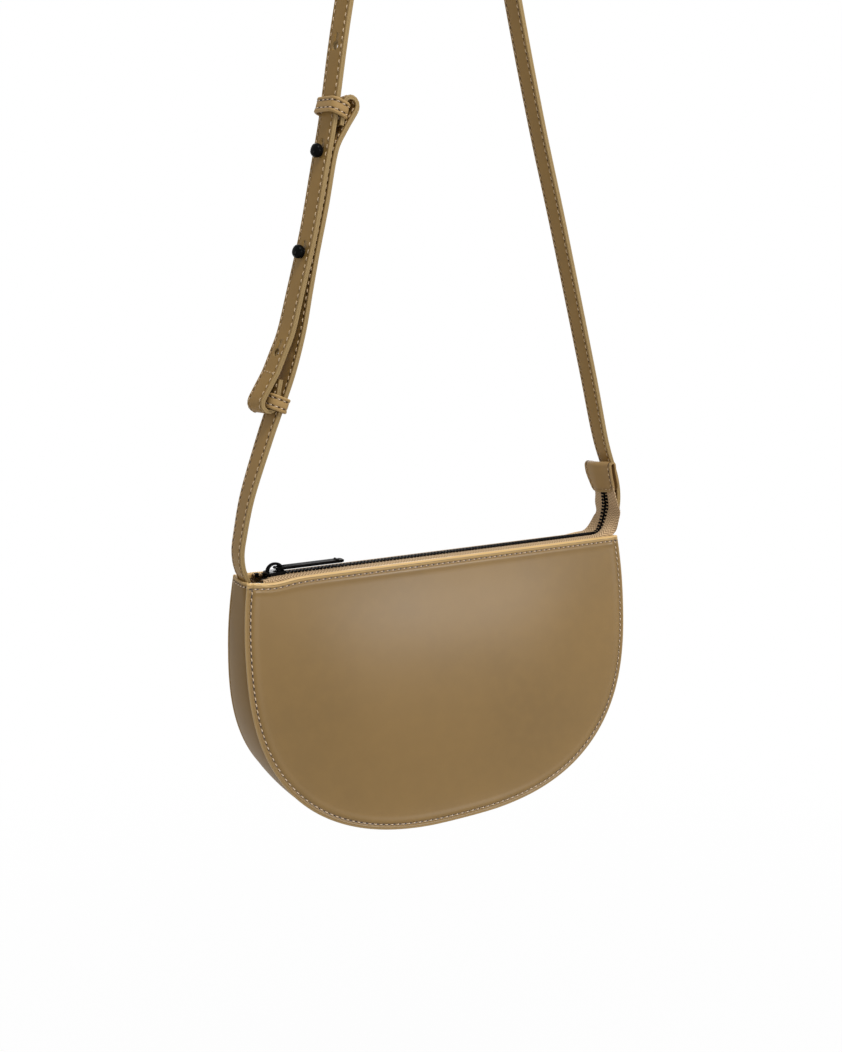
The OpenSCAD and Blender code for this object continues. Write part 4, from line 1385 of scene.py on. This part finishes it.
# %% Studs
stud_profile = [
    (0, -3.2), (1.9, -3.2), (1.9, 1.36), (2.55, 1.42), (2.7, 1.65), (2.55, 1.95), (2.35, 2.1),
    (2.9, 2.3), (3.45, 2.75), (3.65, 3.5), (3.62, 4.4), (3.4, 5.2), (2.95, 5.85), (2.2, 6.3),
    (1.2, 6.55), (0, 6.6)]


def turned_stud(label, place):
    """The half outline, spun round the axis of the hole nearest to a place."""
    spot, way, across, out = hole_frame(place)
    angles = np.linspace(0, 2 * math.pi, 32, endpoint=False)
    spokes = [way * math.cos(a) + across * math.sin(a) for a in angles]
    rows = [[spot + out * h + spoke * max(r, 0.01) for spoke in spokes] for r, h in stud_profile]
    name = f"{label}_stud_turned"
    stud = sheet(name, np.array(rows), black_enamel, ring=True, caps=True, sharp=40)
    on_body(stud, "strap", "stud_metal", f"{label}_stud")


for label, place in zip(("lower", "upper"), stud_places):
    turned_stud(label, place)
print("stud heads", 2 * max(r for r, _ in stud_profile), "mm across")

# %% [markdown]
# ## Inside the bag
# Cloth walls, a slip pocket on the back one, and cloth patches behind the strap's ends. They are
# hardly seen through the closed mouth, but they are there when the bag is looked into.


# %% Lining
cloth_t, cloth_inset, wall_depth, strip_depth = 0.5, 3.2, 2.4, 2.3


def cloth_wall(name, side, *nodes):
    """A wall of lining behind a panel: the panel's own grid, made smaller and moved in."""
    grid = flat_panel()[::2, ::2]
    shrink = np.array([1 - cloth_inset / half_width, 1 - cloth_inset / bag_height])
    x, z = grid[..., 0] * shrink[0], grid[..., 1] * shrink[1] - 1.2
    near, far = (wall(x, z, -d, dip=False, side=side) for d in (wall_depth, wall_depth + cloth_t))
    rows = np.concatenate([near, far[::-1], near[:1]])
    on_body(sheet(name, rows, lining_cloth, weld=True), "bag", "lining_cloth", *nodes)


def cloth_strip():
    """The lining's strip inside the gusset."""
    inner = np.linspace(-0.86, 0.86, 15)
    near, far = (np.stack([gusset_point(seam_steps[::2], a, -depth) for a in inner])
                 for depth in (strip_depth, strip_depth + cloth_t))
    rows = np.concatenate([near, far[::-1], near[:1]])
    on_body(sheet("side_cloth_strip", rows, lining_cloth, weld=True), "bag", "lining_cloth",
            "gusset_lining")


cloth_wall("front_cloth_wall", -1, "front_lining")
cloth_wall("back_cloth_wall", 1, "back_lining")
cloth_strip()
print("lining", cloth_t, "mm thick")


# %% Slip pocket
pocket_half, pocket_top, pocket_bottom, pocket_corner = 65, -24, -104, 14
pocket_depth, pocket_gape = 3.0, 1.3


def slip_pocket():
    """A pocket sewn to the back cloth on three sides. Its hemmed mouth stands a little open."""
    rows, edge = [], []
    for z in np.linspace(pocket_bottom, pocket_top, 24):
        low = max(pocket_corner - (z - pocket_bottom), 0)
        half = pocket_half - pocket_corner + math.sqrt(pocket_corner ** 2 - low ** 2)
        x = np.linspace(-half, half, 41)
        open_by = (pocket_gape * np.cos(x / half * math.pi / 2)
                   * smoothstep(z, pocket_bottom, pocket_top))
        hem = cloth_t * smoothstep(z, pocket_top - 7, pocket_top - 5.5)
        outer, inner = (wall(x, np.full_like(x, z), -pocket_depth - d, dip=False, side=1)
                        for d in (open_by, open_by + cloth_t + hem))
        rows.append(np.vstack([outer, inner[::-1]]))
        edge.append(inner[[2, -3]])
    piece = sheet("slip_pocket_cloth", np.stack(rows), lining_cloth, ring=True, caps=True)
    seam = np.array([pair[0] for pair in edge[::-1]] + [pair[1] for pair in edge])
    out = np.tile([0.0, -1, 0], (len(seam), 1))
    stitch_row("slip_pocket_stitches", seam, out, "bag", "lining_cloth")
    on_body(piece, "bag", "lining_cloth", "slip_pocket")


slip_pocket()
print("pocket", 2 * pocket_half, "by", pocket_top - pocket_bottom, "mm")


# %% Cloth patches behind the strap's ends
patch_half, patch_low, patch_high, patch_x = 8, -19, -1, 117.8
patch_rings = [
    (0.03, 0), (0.6, -0.02), (0.93, 0), (1, 0.15), (1, 0.4), (0.9, 0.52), (0.03, 0.55)]


def anchor_patch(label, side):
    """A small cloth patch with soft corners, and the box of stitches that holds the strap's end."""
    turn = np.radians(np.arange(0, 360, 10))
    middle = np.array([0, (patch_low + patch_high) / 2])
    rim = np.stack([soft(np.cos(turn), 0.35) * patch_half,
                    middle[1] + soft(np.sin(turn), 0.35) * (patch_high - patch_low) / 2], -1)

    def ring(share, x):
        flat = middle + (rim - middle) * share
        return np.stack([np.full(len(flat), side * x), flat[:, 0], flat[:, 1]], -1)

    rows = [ring(share, patch_x + deep) for share, deep in patch_rings]
    piece = sheet(f"{label}_anchor_cloth", np.array(rows), lining_cloth, ring=True, caps=True,
                  flip=side > 0)
    on_body(piece, "bag", "lining_cloth", f"{label}_anchor_patch")
    loop = ring(0.72, patch_x - 0.05)
    out = np.tile([-1.0 * side, 0, 0], (len(loop), 1))
    stitch_row(f"{label}_anchor_stitches", loop, out, "bag", "lining_cloth", pitch=2.8)


anchor_patch("left", -1)
anchor_patch("right", 1)
print("patches", 2 * patch_half, "by", patch_high - patch_low, "mm")

# %% [markdown]
# ## Pieces kept from the CAD
# The screws behind the studs and the boards behind the panels have their real shapes already, so
# their solids stay and only get a finish.

# %% Pieces kept from the CAD
kept = {
    "upper_stud_screw": black_enamel, "lower_stud_screw": black_enamel,
    "front_stiffener": stiffener_board, "back_stiffener": stiffener_board}
for node, finish in kept.items():
    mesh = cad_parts[node].data
    mesh.materials.clear()
    mesh.materials.append(finish)
print("kept:", sorted(kept))

# %% [markdown]
# ## Floor and light
# The bag hangs in a white studio. The floor is a pale sheet far below it that still takes its
# shadow. Camera, mirror and glass rays see plain white in the world, while the light that reaches
# the bag is a weaker even glow plus four soft lamps: at the front, over the top, at the left side
# and behind.

# %% Floor
floor_reach, floor_z = 9000, -560


def seen_plainly(paint):
    """One for camera, mirror and glass rays, and zero for the rays that light the bag."""
    seen = paint.add("LightPath", {}, {}, output="Is Camera Ray")
    rays = seen.socket.node.outputs
    for kind in ("Is Glossy Ray", "Is Transmission Ray"):
        seen = seen.maths("MAXIMUM", seen, Wire(paint, rays[kind]))
    return seen


studio = Paint(bpy.data.materials.new("studio_floor"))
seen = seen_plainly(studio)
glow = studio.add("Emission", {}, {"Color": (1, 1, 1, 1), "Strength": 1.0})
pale = studio.add("BsdfDiffuse", {}, {"Color": (0.9, 0.9, 0.9, 1)})
spread = studio.add("VectorMath", {"operation": "LENGTH"}, {0: studio.place()}, output=1)
far = spread.step(0.25, 1.6)
both = studio.add("MixShader", {}, {0: seen * (far * 0.14 + 0.86), 1: pale, 2: glow})
studio.tree.links.new(both.socket, studio.tree.nodes["Material Output"].inputs["Surface"])
corners = [(x * floor_reach, y * floor_reach, floor_z)
           for x, y in ((-1, -1), (1, -1), (1, 1), (-1, 1))]
floor = mesh_piece("studio_floor", corners, [(0, 1, 2, 3)], studio.owner)
print("floor", -floor_z, "mm under the bag's top edge")

# %% World and lamps
room_glow = 0.32
bag_middle = Vector((0, 0, -0.52))
sky = Paint(bpy.data.worlds.new("studio"))
bpy.context.scene.world = sky.owner
background = sky.tree.nodes["Background"]
background.inputs["Color"].default_value = (1, 1, 1, 1)
sky.plug(background.inputs["Strength"], seen_plainly(sky) * (1 - room_glow) + room_glow)


def lamp(name, place, size, power):
    """A round soft lamp that looks at the bag. Its place and size are in metres."""
    light = bpy.data.lights.new(name, "AREA")
    light.shape, light.size, light.energy = "DISK", size, power
    body = bpy.data.objects.new(name, light)
    body.location = place
    body.rotation_euler = (bag_middle - Vector(place)).to_track_quat("-Z", "Y").to_euler()
    bpy.context.scene.collection.objects.link(body)


lamp("front_lamp", (0.60, -1.15, -0.30), 0.3, 4.9)
lamp("top_lamp", (0.06, -0.55, 0.55), 0.45, 8)
lamp("side_lamp", (-1.05, 0.35, -0.25), 0.4, 1.9)
lamp("back_lamp", (0.5, 1.15, -0.1), 0.5, 3.5)
bpy.context.scene.view_settings.view_transform = "Standard"
print("lamps:", len(bpy.data.lights))
